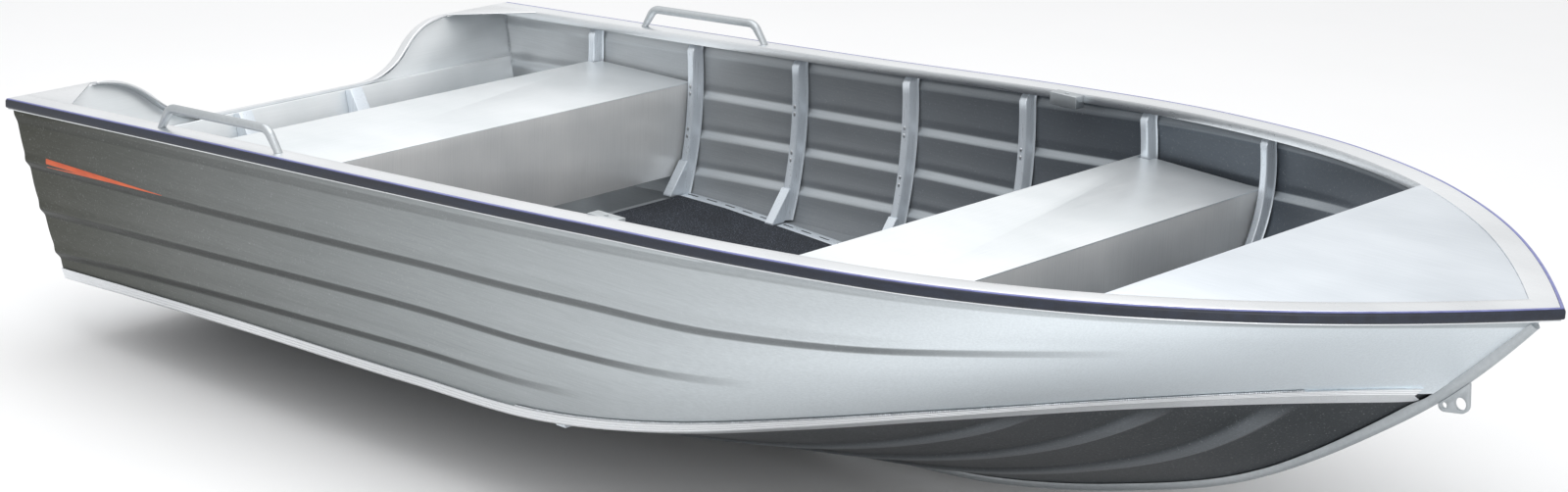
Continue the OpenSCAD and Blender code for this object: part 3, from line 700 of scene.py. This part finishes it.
def stripe_finish():
    finish, tree, shader, coords = blank("orange_stripe")
    cloud = grain(tree, coords, 30, (.4, 2, 2), 4)
    tone = blended(tree, spread(tree, cloud, .3, .7, 0, 1), (.52, .07, .015), (.68, .12, .03))
    tree.links.new(tone, shader.inputs["Base Color"])
    tree.links.new(spread(tree, cloud, .3, .7, .3, .42), shader.inputs["Roughness"])
    return finish


def seam_finish():
    finish, tree, shader, coords = blank("tinted_seam")
    cloud = grain(tree, coords, 20, (.4, 2, 2), 4)
    tone = blended(tree, spread(tree, cloud, .3, .7, 0, 1), (.1, .11, .3), (.2, .22, .46))
    tree.links.new(tone, shader.inputs["Base Color"])
    tree.links.new(spread(tree, cloud, .3, .7, .3, .5), shader.inputs["Roughness"])
    return finish


def floor_finish():
    finish, tree, shader, coords = blank("pale_floor")
    cloud = grain(tree, coords, .8, (1, 1, 1), 3)
    tone = blended(tree, spread(tree, cloud, .3, .7, 0, 1), (.9, .9, .9), (.915, .915, .915))
    tree.links.new(tone, shader.inputs["Base Color"])
    shader.inputs["Roughness"].default_value = .9
    return finish


finishes["rubber"] = rubber_finish()
finishes["carpet"] = carpet_finish()
finishes["stripe"] = stripe_finish()
finishes["seam"] = seam_finish()


# Hull sheet work
# The outer and inner faces of one mill aluminium sheet get two tones: lit and shaded copies of one material,
# painted light.
def two_tone(piece, outer, inner):
    """Gives a piece's mesh the outer finish in its first slot and the inner one in its second; the callers
    set the faces that look inboard or up to the inner finish.
    """
    mesh = piece.data
    mesh.materials.clear()
    mesh.materials.append(outer)
    mesh.materials.append(inner)
    return mesh


def side_plating(sign, word):
    stations = [fine_share(k, PLATE_STATIONS) for k in range(PLATE_STATIONS + 1)]
    loops = [side_loop(u) for u in stations]
    if sign < 0:
        loops = [mirrored(loop) for loop in loops]
    bands = [side_bands(u) for u in stations]
    piece = lofted("side_plating_" + word, loops, finishes["side"], 40, bands=bands)
    mesh = two_tone(piece, finishes["side"], finishes["inside"])
    for face in mesh.polygons:
        face.material_index = 1 if face.normal.y * sign < 0 else 0
    return fitted(piece, "mill_aluminium", "side_panel_" + word)


def bottom_plating(sign, word):
    stations = [CHINE_END * fine_share(k, PLATE_STATIONS) for k in range(PLATE_STATIONS + 1)]
    loops = [bottom_loop(x) for x in stations]
    if sign < 0:
        loops = [mirrored(loop) for loop in loops]
    bands = [bottom_bands(x) for x in stations]
    piece = lofted("bottom_plating_" + word, loops, finishes["bottom"], 40, bands=bands)
    mesh = two_tone(piece, finishes["bottom"], finishes["inside"])
    for face in mesh.polygons:
        face.material_index = 1 if face.normal.z > 0 else 0
    return fitted(piece, "mill_aluminium", "bottom_panel_" + word)


def along_sheer(name, section, sign, finish, sharp=28):
    ends = [bow_meeting(d) for d, _ in section]
    loops = []
    for k in range(TRIM_STATIONS + 1):
        s = fine_share(k, TRIM_STATIONS)
        loop = [inset(s * end, d, h) for end, (d, h) in zip(ends, section)]
        loops.append([(p[0], sign * max(p[1], 0), p[2]) for p in loop])
    return lofted(name, loops, finish, sharp)


def rounded_ring(points, radius, cuts=2):
    """Rounds every corner of a closed ring of 2D points."""
    wrapped = [points[-1]] + points + [points[0]]
    line = softened(wrapped, radius, cuts)
    return line[1:-1]


def gunwale(sign, word):
    flange = RUB_W + GUNWALE_T
    ring = rounded_ring([
        (flange, -RUB_H), (flange, -GUNWALE_T), (GUNWALE_W - GUNWALE_T, -GUNWALE_T),
        (GUNWALE_W - GUNWALE_T, -LIP_H), (GUNWALE_W, -LIP_H), (GUNWALE_W, 0), (RUB_W, 0),
        (RUB_W, -RUB_H)], 1.8)
    piece = along_sheer("gunwale_extrusion_" + word, ring, sign, finishes["bright"], 50)
    return fitted(piece, "bright_aluminium", "gunwale_" + word)


def rub_strip(sign, word):
    edge = RUB_W / 3
    ring = rounded_ring([
        (RUB_W - FIT, -2), (edge, -2), (0, -edge - 2), (0, edge - RUB_H), (edge, -RUB_H),
        (RUB_W - FIT, -RUB_H)], 3.5, 3)
    piece = along_sheer("rubbing_strip_" + word, ring, sign, finishes["rubber"], 60)
    return fitted(piece, "rubber", "rub_strip_" + word)


def chine_loop(u):
    x = CHINE_END * u
    c, _, b, way, _ = chine_frame(x)
    seat = side_low(u)
    above = side_point(u, .95)
    up = unit(tuple(p - q for p, q in zip(above, seat)))
    down = unit(tuple(p - q for p, q in zip((x, 0, apex_z(x)), seat)))
    low_leg = min(CHINE_LEG, .6 * c[0] / abs(b[0]))
    corner = (x, c[0], c[1])
    inner = (x, c[0] + way[0] * CHINE_T, c[1] + way[1] * CHINE_T)

    def off(p, way_, d, e=0.0):
        return tuple(a + w * d + n * e for a, w, n in zip(p, way_, (0, way[0], way[1])))
    groove = [off(corner, up, CHINE_LEG)]
    for d in GROOVES:
        groove += [off(corner, up, d + GROOVE_TOP), off(corner, up, d + GROOVE_FLOOR, GROOVE_D),
                   off(corner, up, d - GROOVE_FLOOR, GROOVE_D), off(corner, up, d - GROOVE_TOP)]
    loop = groove + [off(corner, up, CORNER_EASE), off(corner, down, CORNER_EASE), off(corner, down, low_leg),
                     off(inner, down, low_leg - CHINE_T), inner, off(inner, up, CHINE_LEG - CHINE_T)]
    return [trimmed(p) for p in loop]


def chine_strip(sign, word):
    loops = [chine_loop(fine_share(k, TRIM_STATIONS)) for k in range(CHINE_STATIONS)]
    if sign < 0:
        loops = [mirrored(loop) for loop in loops]
    piece = lofted("chine_extrusion_" + word, loops, finishes["bright"], 35)
    return fitted(piece, "bright_aluminium", "chine_strip_" + word)


def keel_bar():
    """The bar under the keel, which narrows and deepens forward into the stem."""
    loops = []
    for k in range(BAR_STATIONS + 1):
        x = KEEL_END * k / BAR_STATIONS
        m = keel_slope(x)
        n = math.hypot(1, m)
        d = bar_depth(x) - FIT
        half = KEEL_W / 2 * (1 - .35 * clamp((x / HULL_LENGTH - .6) / .3, 0, 1))
        xs = min(x, CHINE_END)
        rise = clamp((chine_point(xs, 0)[2] - apex_z(x)) / chine_y(xs), .1, .6) * half
        side = softened([(0, 0), (.55 * half, 0), (half, .4 * d), (half, d + rise * .9),
                         (.1 * half, d)], 3, 2)[1:]
        low = [trimmed((x - m / n * h, s, keel_z(x) + h / n)) for s, h in side]
        loops.append(mirrored(low) + low[::-1])
    piece = lofted("keel_and_stem_bar", loops, finishes["cast"], 40)
    return fitted(piece, "grey_aluminium", "keel_bar")


def frame_x(i):
    return FRAME_FIRST + (i - 1) * FRAME_PITCH


def frame_pressing(i):
    """A hat-shaped rib: foot flanges, sloped walls and a rounded crest, on both sides."""
    x = frame_x(i)
    edge_z = bottom_edge(x)[1] + 2 * bottom_lift(x)
    low = find_v(x, max(FLOOR_Z - FLOOR_T + FIT, edge_z))
    top = find_v(x, sheer_z(x) - LIP_H - 2)
    full = top + .05
    levels = [(top, .3), (top + .02, .75)] + [
        (full + (low - full) * k / FRAME_LEVELS, 1) for k in range(FRAME_LEVELS + 1)]
    section = softened([(-FRAME_W / 2, 0), (-FRAME_CREST / 2 - 7, 3), (-FRAME_CREST / 2, FRAME_D),
                        (FRAME_CREST / 2, FRAME_D), (FRAME_CREST / 2 + 7, 3), (FRAME_W / 2, 0)], 5)
    loops = [[inside(x + a, v, d * depth) for a, d in section] for v, depth in levels]
    port = lofted("rib", loops, finishes["frame"], 50)
    starboard = lofted("rib", [mirrored(loop) for loop in loops], finishes["frame"], 50)
    piece = joined("frame_pressing_%d" % i, [port, starboard], finishes["frame"], 50)
    return fitted(piece, "grey_aluminium", "frame_%d" % i)


def handle_line():
    """Points along a grab handle and up from its aft foot, in its own plane."""
    bar = HANDLE_H - TUBE_D / 2
    angle = math.atan2(bar, HANDLE_LEAN)
    run = HANDLE_BEND * math.tan(angle / 2)
    half = [(0, 0)]
    for k in range(BEND_CUTS + 1):
        a = angle * (1 - k / BEND_CUTS)
        half.append((HANDLE_LEAN + run - HANDLE_BEND * math.sin(a), bar - HANDLE_BEND * (1 - math.cos(a))))
    return half + [(HANDLE_L - p[0], p[1]) for p in half[::-1]]


def grab_handle(sign, word):
    middle = (GUNWALE_W + RUB_W) / 2
    foot, head = inset(HANDLE_X, middle, FIT), inset(HANDLE_X + HANDLE_L, middle, FIT)
    along = unit(tuple(b - a for a, b in zip(foot, head)))
    across = unit((-along[1], along[0], 0))
    up = Vector(along).cross(Vector(across))
    line = handle_line()
    scale = math.dist(foot, head) / HANDLE_L
    loops = []
    for i, (s, h) in enumerate(line):
        before, after = line[max(i - 1, 0)], line[min(i + 1, len(line) - 1)]
        angle = math.atan2(after[1] - before[1], after[0] - before[0])
        centre = Vector(foot) + Vector(along) * s * scale + up * h
        side = Vector(along) * -math.sin(angle) + up * math.cos(angle)
        loops.append([tuple(centre + (side * math.cos(a) + Vector(across) * math.sin(a)) * TUBE_D / 2)
                      for a in (math.tau * j / TUBE_SIDES for j in range(TUBE_SIDES))])
    for loop in (loops[0], loops[-1]):
        for j, p in enumerate(loop):
            loop[j] = (p[0], p[1], sheer_z(p[0]) + FIT)
    if sign < 0:
        loops = [mirrored(loop) for loop in loops]
    piece = lofted("grab_handle_" + word, loops, finishes["cast"], 50)
    return fitted(piece, "bright_aluminium", "handle_" + word)


# Trim, welds and small fittings
def surface_e(u, t):
    """How far the side's outer face stands out at a distance t down from the gunwale."""
    _, line = side_line(u)
    for (t0, e0), (t1, e1) in zip(line, line[1:]):
        if t0 <= t <= t1:
            return e0 + (e1 - e0) * (t - t0) / max(t1 - t0, 1e-6)
    return line[-1][1]


def stripe_loop(x, z, height):
    corners = []
    for level, out in ((z, -STRIPE_SUNK), (z, STRIPE_T), (z - height / 2, STRIPE_T),
                       (z - height, STRIPE_T), (z - height, -STRIPE_SUNK)):
        v = .5
        for _ in range(7):
            v += (side_at(x, v)[2] - level) / (side_at(x, 0)[2] - side_at(x, 1)[2])
        u = x / (TOP_END * (1 - v) + CHINE_END * v)
        corners.append(skinned(u, v, surface_e(u, v * side_height(u)) + out, 1.5))
    return corners


def stripe():
    """A painted wedge on the starboard side, thick aft and running out to a point forward."""
    loops = []
    for k in range(STRIPE_STATIONS + 1):
        s = k / STRIPE_STATIONS
        x = STRIPE_FROM + (STRIPE_TO - STRIPE_FROM) * s
        z = STRIPE_Z[0] + (STRIPE_Z[1] - STRIPE_Z[0]) * s
        loops.append(mirrored(stripe_loop(x, z, STRIPE_TIP + (STRIPE_H - STRIPE_TIP) * (1 - s))))
    return fitted(lofted("orange_stripe", loops, finishes["stripe"], 40), "stripe_orange")


def repeater():
    """A tree that sets a small shape along each line of a mesh of edges."""
    tree = bpy.data.node_groups.new("repeat_along_lines", "GeometryNodeTree")
    sockets = {}
    for name, kind, direction in (
            ("Lines", "NodeSocketGeometry", "INPUT"), ("Shape", "NodeSocketObject", "INPUT"),
            ("Pitch", "NodeSocketFloat", "INPUT"), ("Unevenness", "NodeSocketFloat", "INPUT"),
            ("Finish", "NodeSocketMaterial", "INPUT"), ("Result", "NodeSocketGeometry", "OUTPUT")):
        sockets[name] = tree.interface.new_socket(name=name, in_out=direction, socket_type=kind).identifier
    given, result = tree.nodes.new("NodeGroupInput"), tree.nodes.new("NodeGroupOutput")

    def step(kind, **inputs):
        made = tree.nodes.new("GeometryNode" + kind)
        for key, value in inputs.items():
            socket = made.inputs[key.replace("_", " ")]
            if isinstance(value, bpy.types.NodeSocket):
                tree.links.new(value, socket)
            else:
                socket.default_value = value
        return made
    curve = step("MeshToCurve", Mesh=given.outputs["Lines"])
    even = step("ResampleCurve", Curve=curve.outputs[0])
    even.mode = "LENGTH"
    tree.links.new(given.outputs["Pitch"], even.inputs["Length"])
    along = step("InputTangent")
    turned = tree.nodes.new("FunctionNodeAlignRotationToVector")
    turned.axis = "X"
    tree.links.new(along.outputs[0], turned.inputs["Vector"])
    shape = step("ObjectInfo", Object=given.outputs["Shape"])
    change = tree.nodes.new("FunctionNodeRandomValue")
    change.data_type = "FLOAT"
    change.inputs["Seed"].default_value = BEAD_SEED
    low = tree.nodes.new("ShaderNodeMath")
    low.operation = "SUBTRACT"
    low.inputs[0].default_value = 1
    tree.links.new(given.outputs["Unevenness"], low.inputs[1])
    tree.links.new(low.outputs[0], change.inputs[2])
    change.inputs[3].default_value = 1
    set_on = step("InstanceOnPoints", Points=even.outputs[0], Instance=shape.outputs["Geometry"],
                  Rotation=turned.outputs[0], Scale=change.outputs[1])
    made = step("RealizeInstances", Geometry=set_on.outputs[0])
    coated = step("SetMaterial", Geometry=made.outputs[0], Material=given.outputs["Finish"])
    tree.links.new(coated.outputs[0], result.inputs[0])
    return tree, sockets


REPEAT, SOCKETS = repeater()


def repeated(name, lines, shape, pitch, uneven, finish, slot):
    """Small shapes along lines of points, made one plain mesh."""
    points, edges = [], []
    for line in lines:
        start = len(points)
        points += [place(p) for p in line]
        edges += [(start + i, start + i + 1) for i in range(len(line) - 1)]
    mesh = bpy.data.meshes.new(name)
    mesh.from_pydata(points, edges, [])
    piece = bpy.data.objects.new(name, mesh)
    bpy.context.scene.collection.objects.link(piece)
    change = piece.modifiers.new("repeat", "NODES")
    change.node_group = REPEAT
    for key, value in (("Shape", shape), ("Pitch", pitch / 1000), ("Unevenness", uneven),
                       ("Finish", finish)):
        change[SOCKETS[key]] = value
    result = evaluated_mesh(piece)
    if not result.materials:
        result.materials.append(finish)
    result.polygons.foreach_set("use_smooth", [True] * len(result.polygons))
    bpy.data.meshes.remove(mesh)
    return fitted(piece, slot)


def small_shape(name, rings, squash=(1, 1, 1)):
    """A hidden little pattern piece: rings of (x, radius) turned about the x axis, in millimetres."""
    n = SHAPE_SIDES
    points, faces = [], []
    for x, r in rings:
        for angle in (math.tau * j / n for j in range(n)):
            point = (x * squash[0], math.cos(angle) * r * squash[1], math.sin(angle) * r * squash[2])
            points.append(tuple(a / 1000 for a in point))
    for i in range(len(rings) - 1):
        for j in range(n):
            a, b = i * n + j, i * n + (j + 1) % n
            faces.append((a, b, b + n, a + n))
    faces += [tuple(range(n))[::-1], tuple(range((len(rings) - 1) * n, len(rings) * n))]
    mesh = bpy.data.meshes.new(name)
    mesh.from_pydata(points, [], faces)
    work = bmesh.new()
    work.from_mesh(mesh)
    bmesh.ops.recalc_face_normals(work, faces=work.faces)
    work.to_mesh(mesh)
    work.free()
    return bpy.data.objects.new(name, mesh)


def plate_depth():
    """How far forward of the transom's aft edge its inner face stands, from the solid itself."""
    lean = math.tan(math.asin(RAKE_SINE))
    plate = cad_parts["transom_plate"].data
    face = max(p.co.x + p.co.z * lean for p in plate.vertices) * 1000 + ORIGIN_X + DRAFT * lean
    return face - STERN_Z * lean


def corner_bead():
    """Up the corner between the transom and the side, inboard."""
    depth = plate_depth() + BEAD_OFF
    first, run = CORNER_BEADS
    return [trimmed(inside(depth, first + run * k / 40, -BEAD_OFF)) for k in range(41)]


def chine_bead():
    """Along the top of the chine extrusion, over its forward half."""
    first, run = CHINE_BEADS
    line = []
    for k in range(90):
        u = first + run * k / 89
        low, above = side_low(u), side_point(u, .95)
        up = unit(tuple(a - b for a, b in zip(above, low)))
        way = chine_frame(u * CHINE_END)[3]
        out = (0, -way[0], -way[1])
        line.append(tuple(p + w * (CHINE_LEG + .5) + o * (CORNER_INSET - BEAD_LIFT)
                          for p, w, o in zip(low, up, out)))
    return line


def both_sides(lines):
    return [turned for line in lines for turned in (line, mirrored(line))]


def crest_y(x, z, d=FRAME_D):
    """Half-breadth to a frame's crest at a height."""
    return inside(x, find_v(x, z), d)[1]


def frame_shoes():
    """Wedge-shaped feet that carry the middle frames onto the floor rails."""
    pieces = []
    for i in SHOE_FRAMES:
        x = frame_x(i)
        loops = []
        for a in (-SHOE_W / 2, -SHOE_W / 2 + SHOE_EASE, SHOE_W / 2 - SHOE_EASE, SHOE_W / 2):
            trim = SHOE_EASE if abs(a) == SHOE_W / 2 else 0
            low, high = FLOOR_Z - .5, FLOOR_Z + SHOE_H - trim
            foot, head = crest_y(x, low), crest_y(x, high)
            toe = foot - SHOE_RUN + trim
            loops.append([(x + a, foot + SHOE_SUNK, low), (x + a, head + SHOE_SUNK, high),
                          (x + a, head - SHOE_T + trim, high), (x + a, toe, low + SHOE_T - trim),
                          (x + a, toe, low)])
        for sign in (1, -1):
            turned = loops if sign > 0 else [mirrored(loop) for loop in loops]
            pieces.append(lofted("shoe", turned, finishes["frame"], 30))
    return fitted(joined("frame_shoes", pieces, finishes["frame"], 30), "grey_aluminium")


def floor_side(x):
    """Half-width of the floor at a station, at the side plating or at the rising bottom."""
    lift = bottom_lift(x)
    edge, apex = bottom_edge(x), apex_z(x) + lift
    level = FLOOR_Z - FLOOR_T
    if edge[1] + lift > level:
        return edge[0] * (level - apex) / (edge[1] + lift - apex)
    return inside(x, find_v(x, FLOOR_Z))[1]


def slot_lines():
    """Along the floor rails, bay by bay."""
    lines = []
    for i in range(1, 5):
        first = frame_x(i + 1) + FRAME_W / 2 + SLOT_END
        last = frame_x(i + 2) - FRAME_W / 2 - SLOT_END
        stations = [first + (last - first) * k / 11 for k in range(12)]
        lines.append([(x, floor_side(x) - SLOT_INSET, FLOOR_Z + .1) for x in stations])
    return both_sides(lines)


def edge_lines(sign, word):
    """The thin bright seam under the rubber and the fine tinted one above it."""
    below = rounded_ring([(RUB_W - 5, -RUB_H - .5), (RUB_W + 3, -RUB_H - .5),
                          (RUB_W + 3, -RUB_H - 5), (RUB_W - 5, -RUB_H - 5)], 1.8)
    piece = along_sheer("seam_under_rubber_" + word, below, sign, finishes["bright"], 60)
    fitted(piece, "bright_aluminium")
    above = rounded_ring([(3.5, -3.2), (RUB_W - 1, -3.2), (RUB_W - 1, -.4), (3.5, -.4)], 1)
    fitted(along_sheer("tinted_seam_" + word, above, sign, finishes["seam"], 60), "rubber")


def spot_lines():
    """Short upright lines, two to a spot-welded place on each frame's crest."""
    spots = []
    for i in SPOT_FRAMES:
        x = frame_x(i)
        for share in SPOT_LEVELS:
            level = FLOOR_Z + (sheer_z(x) - FLOOR_Z) * share
            for z in (level, level + SPOT_GAP):
                y = crest_y(x, z, FRAME_D + .4)
                spots.append([(x, y, z), (x, y, z + SPOT_L)])
    return spots + [mirrored(spot) for spot in spots]


def small_fittings():
    bead = small_shape("bead", ((-3.4, .7), (-2.3, 2.3), (0, 3), (2.3, 2.3), (3.4, .7)))
    slot_rings = ((-SLOT_L / 2, 1), (-SLOT_L / 2 + 2, SLOT_W / 2), (SLOT_L / 2 - 2, SLOT_W / 2),
                  (SLOT_L / 2, 1))
    slot = small_shape("slot", slot_rings, (1, 1, .06))
    spot = small_shape("spot", ((-5, 1.5), (-3, 4), (3, 4), (5, 1.5)), (1, .5, 1))
    repeated("weld_beads", both_sides([corner_bead(), chine_bead()]), bead, BEAD_PITCH, BEAD_UNEVEN,
             finishes["weld"], "bright_aluminium")
    repeated("rail_slots", slot_lines(), slot, SLOT_PITCH, 0.0, finishes["shade"], "grey_aluminium")
    repeated("spot_welds", spot_lines(), spot, 12, 0.0, finishes["weld"], "bright_aluminium")
    for pattern in (bead, slot, spot):
        bpy.data.objects.remove(pattern)


SIDES = ((1, "port"), (-1, "starboard"))
for sign, word in SIDES:
    side_plating(sign, word)
    bottom_plating(sign, word)
    gunwale(sign, word)
    rub_strip(sign, word)
    chine_strip(sign, word)
    grab_handle(sign, word)
    edge_lines(sign, word)
stripe()
frame_shoes()
small_fittings()
keel_bar()
for i in range(1, FRAME_COUNT + 1):
    frame_pressing(i)

for name, finish, slot, width in (
        ("aft_thwart_top", "pale", "bright", 3),
        ("fore_thwart_top", "pale", "bright", 3),
        ("aft_thwart_front", "front", "bright", 1),
        ("fore_thwart_front", "front", "bright", 1),
        ("fore_thwart_back", "front", "bright", 1),
        ("foredeck", "deck", "bright", 1.5),
        ("transom_plate", "pale", "mill", 1),
        ("transom_cap", "bright", "bright", 2),
        ("transom_board", "pale", "bright", 2),
        ("motor_pad", "cast", "grey", 2),
        ("transom_knees", "frame", "grey", 2),
        ("corner_plate_port", "bright", "bright", 1),
        ("corner_plate_starboard", "bright", "bright", 1),
        ("rowlock_port", "cast", "bright", 2),
        ("rowlock_starboard", "cast", "bright", 2),
        ("bow_eye", "cast", "bright", 1.5),
        ("drain_socket", "cast", "bright", 1),
        ("floor_bearers", "inside", "grey", 1)):
    eased(name, finishes[finish], slot + "_aluminium", width)
eased("floor_panel", finishes["carpet"], "carpet", 3)
eased("floor_rails", finishes["frame"], "grey_aluminium", 1)


# Stage, with the eye's focus and middle row in pixels of a 1600 by 502 image
IMAGE_W = 1600
IMAGE_H = 502
SENSOR_W = 36
EYE_FOCUS = 3375.58
EYE_ROW = 255.356
EYE_PLACE = (5.7327, -6.7030, 3.0654)
EYE_TURN = (131.0507, -16.7307, 2.01)


def floor():
    low, size = -DRAFT / 1000 - FLOOR_DROP, FLOOR_SIZE
    corners = [(-size, -size, low), (size, -size, low), (size, size, low), (-size, size, low)]
    mesh = bpy.data.meshes.new("pale_floor")
    mesh.from_pydata(corners, [], [(0, 1, 2, 3)])
    mesh.materials.append(floor_finish())
    piece = bpy.data.objects.new("pale_floor", mesh)
    bpy.context.scene.collection.objects.link(piece)


def lamp(name, place_at, target, size, power):
    data = bpy.data.lights.new(name, "AREA")
    data.shape = "RECTANGLE"
    data.size, data.size_y = size
    data.energy = power
    light = bpy.data.objects.new(name, data)
    light.location = place_at
    light.rotation_euler = (Vector(target) - Vector(place_at)).to_track_quat("-Z", "Y").to_euler()
    bpy.context.scene.collection.objects.link(light)


def surroundings():
    world = bpy.data.worlds.new("studio")
    world.use_nodes = True
    tree = world.node_tree
    tree.nodes.clear()
    path = tree.nodes.new("ShaderNodeLightPath")
    seen = node(tree, "Math", Value=0.0)
    seen.operation = "MAXIMUM"
    tree.links.new(path.outputs["Is Camera Ray"], seen.inputs[0])
    tree.links.new(path.outputs["Is Glossy Ray"], seen.inputs[1])
    through = node(tree, "Math", Value=0.0)
    through.operation = "MAXIMUM"
    tree.links.new(seen.outputs[0], through.inputs[0])
    tree.links.new(path.outputs["Is Transmission Ray"], through.inputs[1])
    white = node(tree, "Background", Color=(1, 1, 1, 1), Strength=1.0)
    fill = node(tree, "Background", Color=(.985, .99, 1, 1), Strength=.9)
    shade = node(tree, "MixShader", Fac=through.outputs[0])
    tree.links.new(fill.outputs[0], shade.inputs[1])
    tree.links.new(white.outputs[0], shade.inputs[2])
    out = tree.nodes.new("ShaderNodeOutputWorld")
    tree.links.new(shade.outputs[0], out.inputs[0])
    bpy.context.scene.world = world


def camera():
    data = bpy.data.cameras.new("camera")
    data.sensor_width = SENSOR_W
    data.lens = EYE_FOCUS * SENSOR_W / IMAGE_W
    data.shift_y = (EYE_ROW - IMAGE_H / 2) / IMAGE_W
    data.clip_end = 200
    eye = bpy.data.objects.new("camera", data)
    yaw, pitch, roll = (math.radians(a) for a in EYE_TURN)
    fwd = Vector((math.cos(pitch) * math.cos(yaw), math.cos(pitch) * math.sin(yaw), math.sin(pitch)))
    right = fwd.cross(Vector((0, 0, 1))).normalized()
    up = right.cross(fwd)
    level = right * math.cos(roll) + up * math.sin(roll)
    upright = up * math.cos(roll) - right * math.sin(roll)
    turned = Matrix((level, upright, -fwd)).transposed().to_4x4()
    eye.matrix_world = Matrix.Translation(EYE_PLACE) @ turned
    bpy.context.scene.collection.objects.link(eye)
    bpy.context.scene.camera = eye


floor()
surroundings()
lamp("overhead", (-.5, -.5, 5), (0, 0, 0), (7, 5), 160)
lamp("bow_side", (5, -3.5, 2.2), (1, 0, .2), (3, 2), 60)
camera()
bpy.context.scene.view_settings.view_transform = "Standard"
